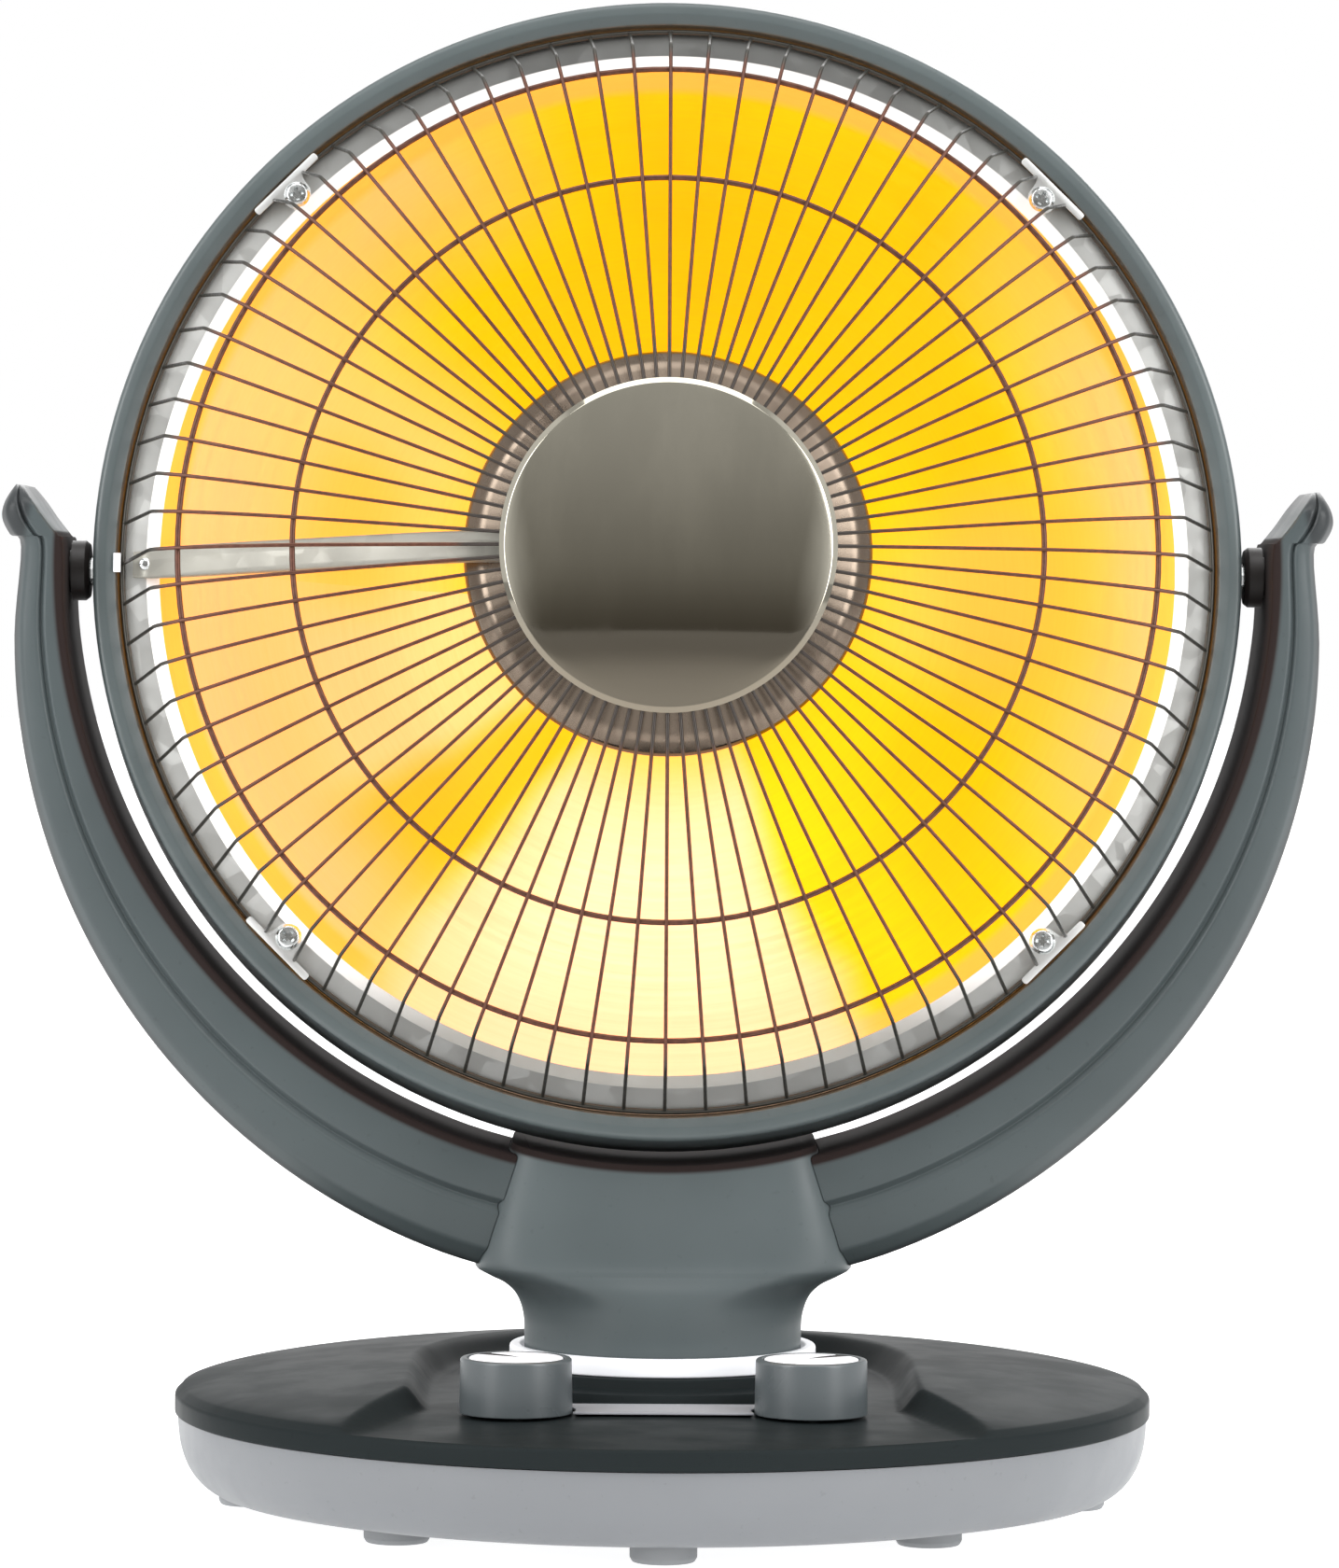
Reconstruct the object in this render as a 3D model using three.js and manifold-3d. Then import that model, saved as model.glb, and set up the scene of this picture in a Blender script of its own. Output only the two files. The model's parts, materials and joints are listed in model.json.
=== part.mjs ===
// Parabolic dish heater: a round head with a wire guard, tilting in a U-shaped yoke that
// swivels on a weighted round base with two knobs.
// Millimetres, +Z up, the front faces -Y, the origin lies on the floor under the base's middle.

import * as THREE from 'three';
import { mergeVertices } from 'three/addons/utils/BufferGeometryUtils.js';
import Module from 'manifold-3d';

const wasm = await Module();
wasm.setup();

// ---------------------------------------------------------------- driving dimensions

const fitGap = 0.3; // between pieces that seat on each other
const roundSteps = 32; // facets round the large turned forms
const smallSteps = 18; // facets round the small ones
const boreSteps = 8; // facets round bores and pins

const base = {
  radius: 151.9, // edge of the dark top cover
  footHeight: 6, // floor to the underside of the lower shell
  flatRadius: 136, // flat part of the shell's underside
  seamZ: 30.2, // where the shell and the cover meet
  rimZ: 36.2, // top edge of the cover's skirt
  wall: 2.4,
};
const valley = {
  fall: 0.02, // the floor falls this much per millimetre towards the rim
  halfWidth: 79, // from the middle to the crest of the bank
  backReach: 125, // the bank closes the valley behind, this far from the middle
  bank: 8, // width of the slope up to the crown
  flareStart: 62, // in front of this the valley widens towards the rim
  flare: 0.33, // widening per millimetre of depth
  crownRise: 11, // height of the cover's crown over the rim
};
const turret = {
  topZ: 45.2, topRadius: 50, stepZ: 41.7, stepRadius: 51.2, footRadius: 57, skirtRadius: 58.5, holeRadius: 13,
};
const collar = { radius: 47.8, height: 5.6, lipWidth: 3.4, flangeThickness: 2 };
const foot = { radius: 10, sideReach: 128.4, cornerReach: 115, cornerAngle: 44, frontReach: 121 };
const ballast = { inset: 8, width: 42, thickness: 5.2 };
const knob = { radius: 17.1, height: 16.7, ahead: 75.5, aside: 44.5, lift: 0.4, insertRadius: 14.2 };
const knobPointer = { width: 5.2, turn: 45 }; // pointers stand this far left and right of straight back
const knobShaft = { radius: 3, clearance: 0.3, bottomZ: 24 };
const controlBox = { size: 28, height: 19 };
const legendPlate = { nearReach: 81, farReach: 60, halfWidth: 40, thickness: 0.8, knobRoom: 1 };
const motor = { radius: 25, height: 16, behind: 44 };
const crank = { thickness: 2.5, rimWidth: 4, pinRadius: 2.5, swing: 35 };
const lever = { thickness: 2, width: 15, slotWidth: 7, endMargin: 6 };
const spindle = { radius: 11, wall: 2.5, bottomZ: 27.5, intoNeck: 28 };
const spindleNut = { radius: 22, thickness: 3 };
const tipSwitch = { x: -62, y: 24, plungerRadius: 4, flangeRadius: 6.5, travel: 4, bodyZ: 17 };
const cordInlet = { z: 18, boreRadius: 3.6, tubeRadius: 5, flangeRadius: 8, flangeThickness: 1.9 };

const neck = {
  footRadius: 43.2, // round foot that turns in the collar
  footTopZ: 60.4,
  shoulderZ: 76.4, // widest point, where the arms leave
  shoulderHalfWidth: 58.5,
  shoulderHalfDepth: 38,
  topZ: 115.5,
  topHalfWidth: 47,
  topHalfDepth: 32.5,
  saddleStep: 2.9, // the hollow top stands this far over the arms' inner faces
};
const yoke = {
  innerRadius: 185.9,
  innerCentreZ: 292.25,
  sideThickness: 15.25, // of an arm beside the head
  bottomThickness: 37.3, // of both arms' curve under the head
  halfDepth: 29,
  rootAngle: 12, // where an arm starts inside the neck, from straight down
};
const head = {
  pivotZ: 291,
  tilt: 8, // degrees the front looks up at rest
  rimAhead: 18, // front edge of the housing, in front of the tilt axis
  radius: 177.6,
  wall: 2.5,
  sideDepth: 33, // length of the side behind the front edge
  backRadius: 179, // at the back end of the side, which widens towards it
  depth: 97, // front edge to the back
  mouthRadius: 169.6,
  lipDrop: 1.1, // the mouth's inner lip lies this far behind the front edge
  ledgeRadius: 162.5, // inner edge of the ledge that carries the dish
  ledgeDepth: 7.2,
  ledgeThickness: 2.8,
};
const vent = { count: 16, innerRadius: 92, outerRadius: 126, width: 5 };
const dish = { mouthRadius: 158, depth: 78, flangeThickness: 0.8, sheet: 1 };
const rimBand = { thickness: 0.8, beadWidth: 3.6, beadRise: 2 };
const guard = {
  wires: 84,
  wire: 1.4,
  ringWire: 1.9,
  rimRadius: 166.3,
  rimBehind: 2.9, // the guard's rim ring lies this far behind the head's front edge
  bendRadius: 160,
  bendAhead: 28,
  outerRingRadius: 149.5,
  outerRingAhead: 32,
  middleRingRadius: 114,
  middleRingAhead: 40,
  innerRingRadius: 46.5,
  innerRingAhead: 44.6,
};
const cap = { radius: 51.2, rise: 8, sheet: 0.9, edge: 2.6 };
const hub = { radius: 62.5, rimAhead: 27, frontRadius: 46, frontAhead: 36.4, sheet: 1 };
const tube = { width: 10, thickness: 5, tabThickness: 1.6, innerReach: 40, rivetRadius: 1.4 };
const element = { coreRadius: 13, coreTipRadius: 9, coreLength: 44, wire: 2.6, turns: 8 };
const clip = { barLength: 26, stemWidth: 8, sheet: 0.8, screwReach: 163.5 };
const clipScrew = { headRadius: 4, headHeight: 2.4, shankRadius: 1.8, count: 4 };
const bush = { radius: 9.3, spigotRadius: 6.3, intoArm: 7.5 };
const pivotPin = { radius: 4, headRadius: 7, headThickness: 4, intoArm: 10 };

// ---------------------------------------------------------------- materials

const finish = {
  darkPlastic: [0x565f62, 0.5, 0],
  glossPlastic: [0x262b2c, 0.2, 0],
  lightPlastic: [0x9ea2a6, 0.45, 0],
  palePlastic: [0xd0d0da, 0.35, 0],
  blackPlastic: [0x2a2624, 0.6, 0],
  rubber: [0x9a9da0, 0.8, 0],
  chrome: [0x9a968a, 0.08, 1],
  darkSteel: [0x5a554e, 0.2, 1],
  polishedDish: [0xf2c230, 0.25, 1],
  galvanised: [0x9b9e98, 0.35, 1],
  guardWire: [0x5a3a2c, 0.4, 0.8],
  steel: [0x8d9093, 0.4, 1],
  castIron: [0x3a3a3a, 0.8, 0.6],
  ceramic: [0xe8e2d4, 0.7, 0],
  heatingWire: [0xff7a20, 0.5, 0.6],
};

// ---------------------------------------------------------------- shape helpers

const radians = THREE.MathUtils.degToRad;

// Merges shared corners, drops empty triangles and turns all faces outwards.
function tidy(geometry) {
  const bare = geometry.clone();
  for (const name of Object.keys(bare.attributes)) {
    if (name !== 'position') bare.deleteAttribute(name);
  }
  const merged = mergeVertices(bare, 1e-4);
  const places = merged.attributes.position;
  const corners = [];
  let volume = 0;
  for (let i = 0; i < merged.index.count; i += 3) {
    const [a, b, c] = [0, 1, 2].map((k) => merged.index.getX(i + k));
    if (a === b || b === c || c === a) continue;
    const [p, q, r] = [a, b, c].map((n) => new THREE.Vector3().fromBufferAttribute(places, n));
    volume += p.dot(q.cross(r));
    corners.push(a, b, c);
  }
  if (volume < 0) corners.reverse();
  merged.setIndex(corners);
  return merged;
}

function toSolid(geometry) {
  const clean = tidy(geometry);
  const vertProperties = new Float32Array(clean.attributes.position.array);
  const triVerts = new Uint32Array(clean.index.array);
  return new wasm.Manifold(new wasm.Mesh({ numProp: 3, vertProperties, triVerts }));
}

function fromSolid(solid) {
  const mesh = solid.getMesh();
  const geometry = new THREE.BufferGeometry();
  geometry.setAttribute('position', new THREE.BufferAttribute(mesh.vertProperties, 3));
  geometry.setIndex(new THREE.BufferAttribute(mesh.triVerts, 1));
  return geometry;
}

// Cuts every tool from a shape.
function cut(geometry, ...tools) {
  let solid = toSolid(geometry);
  for (const tool of tools) solid = solid.subtract(toSolid(tool));
  return fromSolid(solid);
}

// Turned form about Z. The profile lists [radius, z] and starts and ends on the axis or closes.
function turned(profile, steps = smallSteps) {
  const points = profile.map(([r, z]) => new THREE.Vector2(r, z));
  return new THREE.LatheGeometry(points, steps).rotateX(Math.PI / 2);
}

// Turned form about the head's axis. The profile lists [radius, distance ahead of the front edge].
function headTurned(profile, steps = roundSteps) {
  const points = profile.map(([r, ahead]) => new THREE.Vector2(r, -ahead));
  return new THREE.LatheGeometry(points, steps);
}

// Turned form about X, used at the pivots. The profile lists [radius, x].
function sideTurned(profile, steps = boreSteps) {
  const points = profile.map(([r, x]) => new THREE.Vector2(r, x));
  return new THREE.LatheGeometry(points, steps).rotateZ(-Math.PI / 2);
}

function ring(inner, outer, low, high, steps = smallSteps) {
  return turned([[inner, low], [outer, low], [outer, high], [inner, high], [inner, low]], steps);
}

function rod(radius, low, high, steps = boreSteps) {
  return new THREE.CylinderGeometry(radius, radius, high - low, steps)
    .rotateX(Math.PI / 2)
    .translate(0, 0, (low + high) / 2);
}

// Joins loops of equal point counts, one after the other. Open ends are closed over their middle.
function loft(loops, endToEnd = false) {
  const count = loops[0].length;
  const points = loops.flat();
  const faces = [];
  const joins = endToEnd ? loops.length : loops.length - 1;
  for (let k = 0; k < joins; k += 1) {
    const next = (k + 1) % loops.length;
    for (let i = 0; i < count; i += 1) {
      const j = (i + 1) % count;
      const [a, b, c, d] = [k * count + i, k * count + j, next * count + j, next * count + i];
      faces.push(a, b, c, a, c, d);
    }
  }
  if (!endToEnd) {
    for (const [k, flip] of [[0, true], [loops.length - 1, false]]) {
      const middle = loops[k].reduce((sum, p) => sum.add(p), new THREE.Vector3());
      points.push(middle.divideScalar(count));
      for (let i = 0; i < count; i += 1) {
        const edge = [k * count + i, k * count + ((i + 1) % count)];
        if (flip) edge.reverse();
        faces.push(edge[0], edge[1], points.length - 1);
      }
    }
  }
  const geometry = new THREE.BufferGeometry().setFromPoints(points);
  geometry.setIndex(faces);
  return geometry;
}

function extruded(shape, depth) {
  return new THREE.ExtrudeGeometry(shape, { depth, bevelEnabled: false, curveSegments: 10 });
}

// ---------------------------------------------------------------- the assembly's groups

const heater = new THREE.Group();
const tiltFrame = new THREE.Group(); // its origin is the middle of the tilt axis
const rimFrame = new THREE.Group(); // its origin is the middle of the head's front edge
tiltFrame.position.set(0, 0, head.pivotZ);
tiltFrame.rotation.x = -radians(head.tilt);
rimFrame.position.set(0, -head.rimAhead, 0);
tiltFrame.add(rimFrame);
heater.add(tiltFrame);

function add(name, look, geometry, parent = heater) {
  const [color, roughness, metalness] = finish[look];
  const material = new THREE.MeshStandardMaterial({ color, roughness, metalness });
  const mesh = new THREE.Mesh(tidy(geometry), material);
  mesh.name = name;
  parent.add(mesh);
  return mesh;
}

// ---------------------------------------------------------------- base

const shellFloorZ = base.footHeight + base.wall;
const turretUndersideZ = turret.topZ - base.wall;
const knobPlaces = [[-knob.aside, -knob.ahead], [knob.aside, -knob.ahead]];

function lowerShell() {
  const outerRadius = base.radius - 1;
  const tubHeight = base.seamZ - fitGap - base.footHeight;
  // The side swells out from the flat underside to the seam like a quarter of an ellipse.
  const sideOf = (inset) => [0.09, 0.3, 0.62, 1].map((rise) => {
    const reach = outerRadius - inset - (base.flatRadius - inset);
    const spread = Math.sqrt(1 - (1 - rise) ** 2.4);
    return [base.flatRadius - inset + reach * spread, rise];
  });
  const outside = sideOf(0).map(([r, rise]) => [r, base.footHeight + tubHeight * rise]);
  const innerHeight = tubHeight - base.wall;
  const inside = sideOf(base.wall).map(([r, rise]) => [r, shellFloorZ + innerHeight * rise]);
  const profile = [
    [0, base.footHeight],
    [base.flatRadius, base.footHeight],
    ...outside,
    ...inside.reverse(),
    [base.flatRadius - base.wall, shellFloorZ],
    [0, shellFloorZ],
  ];
  const plungerHole = rod(tipSwitch.plungerRadius + fitGap, 0, base.seamZ)
    .translate(tipSwitch.x, tipSwitch.y, 0);
  const inletHole = rod(cordInlet.tubeRadius + fitGap, 0, base.radius);
  const inletSeat = rod(cordInlet.flangeRadius + fitGap, cordSeatY(), base.radius + base.wall);
  for (const tool of [inletHole, inletSeat]) tool.rotateX(-Math.PI / 2).translate(0, 0, cordInlet.z);
  inletHole.translate(0, base.flatRadius / 2, 0);
  return cut(turned(profile, roundSteps), plungerHole, inletHole, inletSeat);
}

// The face on the shell's back where the cord inlet's flange seats.
function cordSeatY() {
  return base.radius - fitGap - cordInlet.flangeThickness - fitGap;
}

function cordGrommet() {
  const inner = cordSeatY() - base.wall - 3;
  const seat = cordSeatY() + fitGap;
  const outer = seat + cordInlet.flangeThickness;
  const profile = [
    [cordInlet.boreRadius, inner],
    [cordInlet.tubeRadius, inner],
    [cordInlet.tubeRadius, seat],
    [cordInlet.flangeRadius, seat],
    [cordInlet.flangeRadius - 1, outer],
    [cordInlet.boreRadius, outer],
    [cordInlet.boreRadius, inner],
  ];
  return turned(profile, boreSteps).rotateX(-Math.PI / 2).translate(0, 0, cordInlet.z);
}

// Height of the valley's floor at a distance from the middle.
const floorHeight = (reach) => base.rimZ + valley.fall * (base.radius - reach);

// Height of the top cover over the point x, y: a crown with a valley in it that is open to the front.
function coverHeight(x, y) {
  const reach = Math.min(Math.hypot(x, y), base.radius);
  const crownZ = base.rimZ + valley.crownRise * Math.sqrt(1 - (reach / base.radius) ** 2);
  const halfWidth = valley.halfWidth + Math.max(0, -y - valley.flareStart) * valley.flare;
  const outward = Math.hypot(x / halfWidth, Math.max(0, y) / valley.backReach);
  const intoBank = 1 + ((outward - 1) * halfWidth) / valley.bank;
  const blend = THREE.MathUtils.smoothstep(intoBank, 0, 1);
  return THREE.MathUtils.lerp(Math.min(floorHeight(reach), crownZ), crownZ, blend);
}

function topCover() {
  const circle = (r, heightAt) => Array.from({ length: roundSteps }, (_, i) => {
    const angle = (i / roundSteps) * 2 * Math.PI;
    const [x, y] = [r * Math.cos(angle), r * Math.sin(angle)];
    return new THREE.Vector3(x, y, heightAt(x, y));
  });
  const level = (r, z) => circle(r, () => z);
  const bankShares = [0.46, 0.53, 0.6]; // of the radius, where the top and the underside run alongside
  const top = [...bankShares, 0.72, 0.86, 0.97].map((share) => circle(share * base.radius, coverHeight));
  const below = (x, y) => coverHeight(x, y) - base.wall;
  const underside = bankShares.map((share) => circle(share * base.radius, below)).reverse();
  const skirtInner = base.radius - base.wall;
  const turretFootZ = floorHeight(turret.skirtRadius);
  const loops = [
    level(turret.holeRadius, turretUndersideZ),
    level(turret.holeRadius, turret.topZ),
    level(turret.topRadius, turret.topZ),
    level(turret.stepRadius, turret.stepZ),
    level(turret.footRadius, turret.stepZ - 0.8),
    level(turret.skirtRadius, turretFootZ),
    ...top,
    level(base.radius - 0.4, base.rimZ - 0.8),
    level(base.radius, base.rimZ - 2.6),
    level(base.radius, base.seamZ),
    level(skirtInner, base.seamZ),
    level(skirtInner - 1, base.rimZ - base.wall),
    ...underside,
    level(turret.skirtRadius - 0.8 * base.wall, turretFootZ - base.wall),
    level(turret.footRadius - base.wall, turret.stepZ - 0.8 - base.wall),
    level(turret.stepRadius - base.wall, turret.stepZ - base.wall),
    level(turret.topRadius - base.wall, turretUndersideZ),
  ];
  const holes = knobPlaces.map(([x, y]) =>
    rod(knobShaft.radius + knobShaft.clearance, 0, 2 * base.rimZ).translate(x, y, 0));
  return cut(loft(loops, true), ...holes);
}

function collarRing() {
  const low = turret.topZ + fitGap;
  const high = low + collar.height;
  const inner = collar.radius - collar.lipWidth;
  const flangeTop = low + collar.flangeThickness;
  return turned([
    [turret.holeRadius, low],
    [collar.radius - 0.6, low],
    [collar.radius, low + 0.6],
    [collar.radius, high - 0.8],
    [collar.radius - 0.8, high],
    [inner, high],
    [inner, flangeTop],
    [turret.holeRadius, flangeTop],
    [turret.holeRadius, low],
  ], 24);
}

// Pale plate on the valley floor between the knobs, hollowed round both of them.
function frontLegendPlate() {
  const { nearReach, farReach, halfWidth, thickness, knobRoom } = legendPlate;
  const shape = new THREE.Shape();
  shape.moveTo(-halfWidth, -nearReach);
  shape.lineTo(halfWidth, -nearReach);
  shape.lineTo(halfWidth, -farReach);
  shape.lineTo(-halfWidth, -farReach);
  const plate = extruded(shape, thickness).translate(0, 0, floorHeight(farReach) + fitGap);
  const room = knobPlaces.map(([x, y]) =>
    rod(knob.radius + knobRoom, 0, 2 * base.rimZ, 20).translate(x, y, 0));
  return cut(plate, ...room);
}

function footPlaces() {
  const { sideReach, cornerReach, cornerAngle, frontReach } = foot;
  const places = [[0, -frontReach], [0, frontReach], [-sideReach, 0], [sideReach, 0]];
  const cornerX = cornerReach * Math.sin(radians(cornerAngle));
  const cornerY = cornerReach * Math.cos(radians(cornerAngle));
  for (const sideX of [-1, 1]) {
    for (const sideY of [-1, 1]) places.push([sideX * cornerX, sideY * cornerY]);
  }
  return places;
}

function footPad() {
  const height = base.footHeight - fitGap;
  const { radius } = foot;
  return turned([[0, 0], [radius - 1, 0], [radius, 1], [radius, height], [0, height]], boreSteps);
}

add('base_lower_shell', 'lightPlastic', lowerShell());
add('base_top_cover', 'glossPlastic', topCover());
add('neck_collar_ring', 'palePlastic', collarRing());
add('front_legend_plate', 'palePlastic', frontLegendPlate());
footPlaces().forEach(([x, y], i) => {
  add(`foot_${i + 1}`, 'rubber', footPad()).position.set(x, y, 0);
});
const ballastZ = shellFloorZ + fitGap;
const ballastRadius = base.flatRadius - ballast.inset;
add('ballast_ring', 'castIron', ring(ballastRadius - ballast.width, ballastRadius, ballastZ,
  ballastZ + ballast.thickness, 24));
add('cord_inlet_grommet', 'blackPlastic', cordGrommet());

// ---------------------------------------------------------------- knobs and their controls

const knobReach = Math.hypot(knob.aside, knob.ahead);
const knobBottomZ = floorHeight(knobReach - knob.radius) + knob.lift;
const knobTopZ = knobBottomZ + knob.height;
const insertDepth = 1.5;

function knobSkirt() {
  const bore = knobShaft.radius + knobShaft.clearance;
  const boreTopZ = knobTopZ - insertDepth - 2;
  const insertSeat = knob.insertRadius + fitGap;
  return turned([
    [0, boreTopZ],
    [bore, boreTopZ],
    [bore, knobBottomZ],
    [knob.radius, knobBottomZ],
    [knob.radius - 0.3, knobTopZ - 1.4],
    [knob.radius - 1.3, knobTopZ],
    [insertSeat, knobTopZ],
    [insertSeat, knobTopZ - insertDepth],
    [0, knobTopZ - insertDepth],
  ]);
}

// A wedge that points from the knob's middle straight back, before the knob is turned.
function pointerWedge(widening, low, high) {
  const half = knobPointer.width / 2 + widening;
  const shape = new THREE.Shape();
  shape.moveTo(-half - 0.8, knob.radius);
  shape.lineTo(0, -1 - widening);
  shape.lineTo(half + 0.8, knob.radius);
  return extruded(shape, high - low).translate(0, 0, low);
}

const insertLowZ = knobTopZ - insertDepth + fitGap;
const insertTopZ = knobTopZ + 0.2;
const insertDisc = () => turned(
  [[0, insertLowZ], [knob.insertRadius, insertLowZ], [knob.insertRadius, knobTopZ], [0, insertTopZ]],
);
const boxTopZ = floorHeight(knobReach + 0.71 * controlBox.size) - base.wall - fitGap;

['left', 'right'].forEach((side, i) => {
  const [x, y] = knobPlaces[i];
  const turn = radians(i === 0 ? knobPointer.turn : -knobPointer.turn);
  const disc = toSolid(insertDisc());
  const wide = toSolid(pointerWedge(fitGap, insertLowZ - 1, knobTopZ + 1));
  const narrow = toSolid(pointerWedge(0, insertLowZ - 1, knobTopZ + 1));
  const pieces = [
    [`knob_${side}`, 'darkPlastic', knobSkirt()],
    [`knob_${side}_dial`, 'palePlastic', fromSolid(disc.subtract(wide))],
    [`knob_${side}_pointer`, 'blackPlastic', fromSolid(disc.intersect(narrow))],
    [`knob_${side}_shaft`, 'steel', rod(knobShaft.radius, knobShaft.bottomZ, knobTopZ - insertDepth - 2.3)],
  ];
  for (const [name, look, geometry] of pieces) {
    const mesh = add(name, look, geometry);
    mesh.position.set(x, y, 0);
    mesh.rotation.z = turn;
  }
});

function controlBody() {
  const half = controlBox.size / 2;
  const outline = new THREE.Shape();
  outline.moveTo(-half, -half);
  outline.lineTo(half, -half);
  outline.lineTo(half, half);
  outline.lineTo(-half, half);
  const bore = new THREE.Path();
  bore.absarc(0, 0, knobShaft.radius + knobShaft.clearance, 0, 2 * Math.PI, true);
  outline.holes.push(bore);
  return extruded(outline, controlBox.height).translate(0, 0, boxTopZ - controlBox.height);
}

['power_switch', 'timer_unit'].forEach((name, i) => {
  add(name, 'blackPlastic', controlBody()).position.set(...knobPlaces[i], 0);
});

// ---------------------------------------------------------------- swivel drive and tip-over switch

const motorTopZ = shellFloorZ + fitGap + motor.height;
const crankZ = motorTopZ + fitGap;
const crankPinReach = motor.behind * Math.sin(radians(crank.swing));
const leverZ = crankZ + crank.thickness + 1.4;

add('swivel_motor', 'steel', rod(motor.radius, shellFloorZ + fitGap, motorTopZ, smallSteps))
  .position.set(0, motor.behind, 0);

// The crank's pin stops short of the slotted lever that it drives.
function crankDisc() {
  const disc = rod(crankPinReach + crank.rimWidth, crankZ, crankZ + crank.thickness, smallSteps);
  const pin = rod(crank.pinRadius, crankZ + crank.thickness / 2, leverZ - fitGap)
    .translate(0, -crankPinReach, 0);
  return fromSolid(toSolid(disc).add(toSolid(pin)));
}

add('swivel_crank', 'steel', crankDisc()).position.set(0, motor.behind, 0);

function slottedLever() {
  const half = lever.width / 2;
  const bore = spindle.radius + fitGap;
  const end = motor.behind + crankPinReach + crank.pinRadius + lever.endMargin;
  const hubRadius = bore + 4;
  const shoulder = Math.acos(half / hubRadius);
  const shape = new THREE.Shape();
  shape.moveTo(half, end);
  shape.lineTo(-half, end);
  shape.absarc(0, 0, hubRadius, Math.PI - shoulder, 2 * Math.PI + shoulder, false);
  const hole = new THREE.Path();
  hole.absarc(0, 0, bore, 0, 2 * Math.PI, true);
  const slot = new THREE.Path();
  const slotHalf = lever.slotWidth / 2;
  const slotStart = motor.behind - crankPinReach + slotHalf;
  slot.moveTo(-slotHalf, slotStart);
  slot.lineTo(-slotHalf, end - lever.endMargin / 2);
  slot.lineTo(slotHalf, end - lever.endMargin / 2);
  slot.lineTo(slotHalf, slotStart);
  shape.holes.push(hole, slot);
  return extruded(shape, lever.thickness).translate(0, 0, leverZ);
}

add('swivel_lever', 'steel', slottedLever());

function tipPlunger() {
  const { plungerRadius, flangeRadius, travel, bodyZ } = tipSwitch;
  const flangeZ = shellFloorZ + fitGap + travel;
  return turned([
    [0, 0],
    [plungerRadius, 0],
    [plungerRadius, flangeZ],
    [flangeRadius, flangeZ],
    [flangeRadius, flangeZ + 1.5],
    [plungerRadius - 1, flangeZ + 1.5],
    [plungerRadius - 1, bodyZ - fitGap],
    [0, bodyZ - fitGap],
  ], boreSteps);
}

add('tip_over_plunger', 'blackPlastic', tipPlunger()).position.set(tipSwitch.x, tipSwitch.y, 0);

function tipSwitchBody() {
  // A small box on two legs that stand either side of the plunger.
  const shape = new THREE.Shape();
  const legInner = tipSwitch.flangeRadius + 1;
  const legOuter = legInner + 3;
  const low = shellFloorZ + fitGap;
  shape.moveTo(-legOuter, low);
  shape.lineTo(-legInner, low);
  shape.lineTo(-legInner, tipSwitch.bodyZ);
  shape.lineTo(legInner, tipSwitch.bodyZ);
  shape.lineTo(legInner, low);
  shape.lineTo(legOuter, low);
  shape.lineTo(legOuter, tipSwitch.bodyZ + 10);
  shape.lineTo(-legOuter, tipSwitch.bodyZ + 10);
  return extruded(shape, 12).rotateX(Math.PI / 2).translate(0, 6, 0);
}

add('tip_over_switch', 'blackPlastic', tipSwitchBody()).position.set(tipSwitch.x, tipSwitch.y, 0);

// ---------------------------------------------------------------- neck and spindle

const neckBottomZ = turret.topZ + fitGap + collar.flangeThickness + fitGap;

// One level of the neck: a rounded rectangle that a squareness of 2 makes an ellipse.
function neckLevel(z, halfWidth, halfDepth, squareness) {
  const steps = 24;
  return Array.from({ length: steps }, (_, i) => {
    const angle = ((i + 0.5) / steps) * 2 * Math.PI;
    const [c, s] = [Math.cos(angle), Math.sin(angle)];
    const bend = (v) => Math.sign(v) * Math.abs(v) ** (2 / squareness);
    return new THREE.Vector3(halfWidth * bend(c), halfDepth * bend(s), z);
  });
}

// The neck's outside, grown by a margin on all sides.
function neckForm(margin = 0) {
  const { footRadius, footTopZ, shoulderZ, shoulderHalfWidth, shoulderHalfDepth } = neck;
  const level = (z, w, d, square) => neckLevel(z, w + margin, d + margin, square);
  const flare = shoulderHalfWidth - footRadius;
  const drop = shoulderZ - footTopZ;
  const draw = footRadius - shoulderHalfDepth;
  return loft([
    level(neckBottomZ - margin, footRadius - 0.8, footRadius - 0.8, 2),
    level(neckBottomZ + 1.2, footRadius, footRadius, 2),
    level(footTopZ, footRadius, footRadius, 2),
    level(footTopZ + 0.4 * drop, footRadius + 0.16 * flare, footRadius - 0.1 * draw, 2.1),
    level(footTopZ + 0.7 * drop, footRadius + 0.42 * flare, footRadius - 0.35 * draw, 2.5),
    level(footTopZ + 0.9 * drop, footRadius + 0.78 * flare, footRadius - 0.7 * draw, 3.2),
    level(shoulderZ, shoulderHalfWidth, shoulderHalfDepth, 4),
    level(shoulderZ + 4, shoulderHalfWidth - 0.8, shoulderHalfDepth - 1.6, 5),
    level(neck.topZ + margin, neck.topHalfWidth, neck.topHalfDepth, 7),
  ]);
}

function neckHousing() {
  const reach = 2 * neck.shoulderHalfDepth;
  const saddle = rod(yoke.innerRadius - neck.saddleStep, -reach, reach, 120).rotateX(Math.PI / 2)
    .translate(0, 0, yoke.innerCentreZ);
  const bore = rod(spindle.radius + fitGap, neckBottomZ - 5, neckBottomZ + spindle.intoNeck + fitGap, 16);
  return cut(neckForm(), saddle, bore);
}

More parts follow.
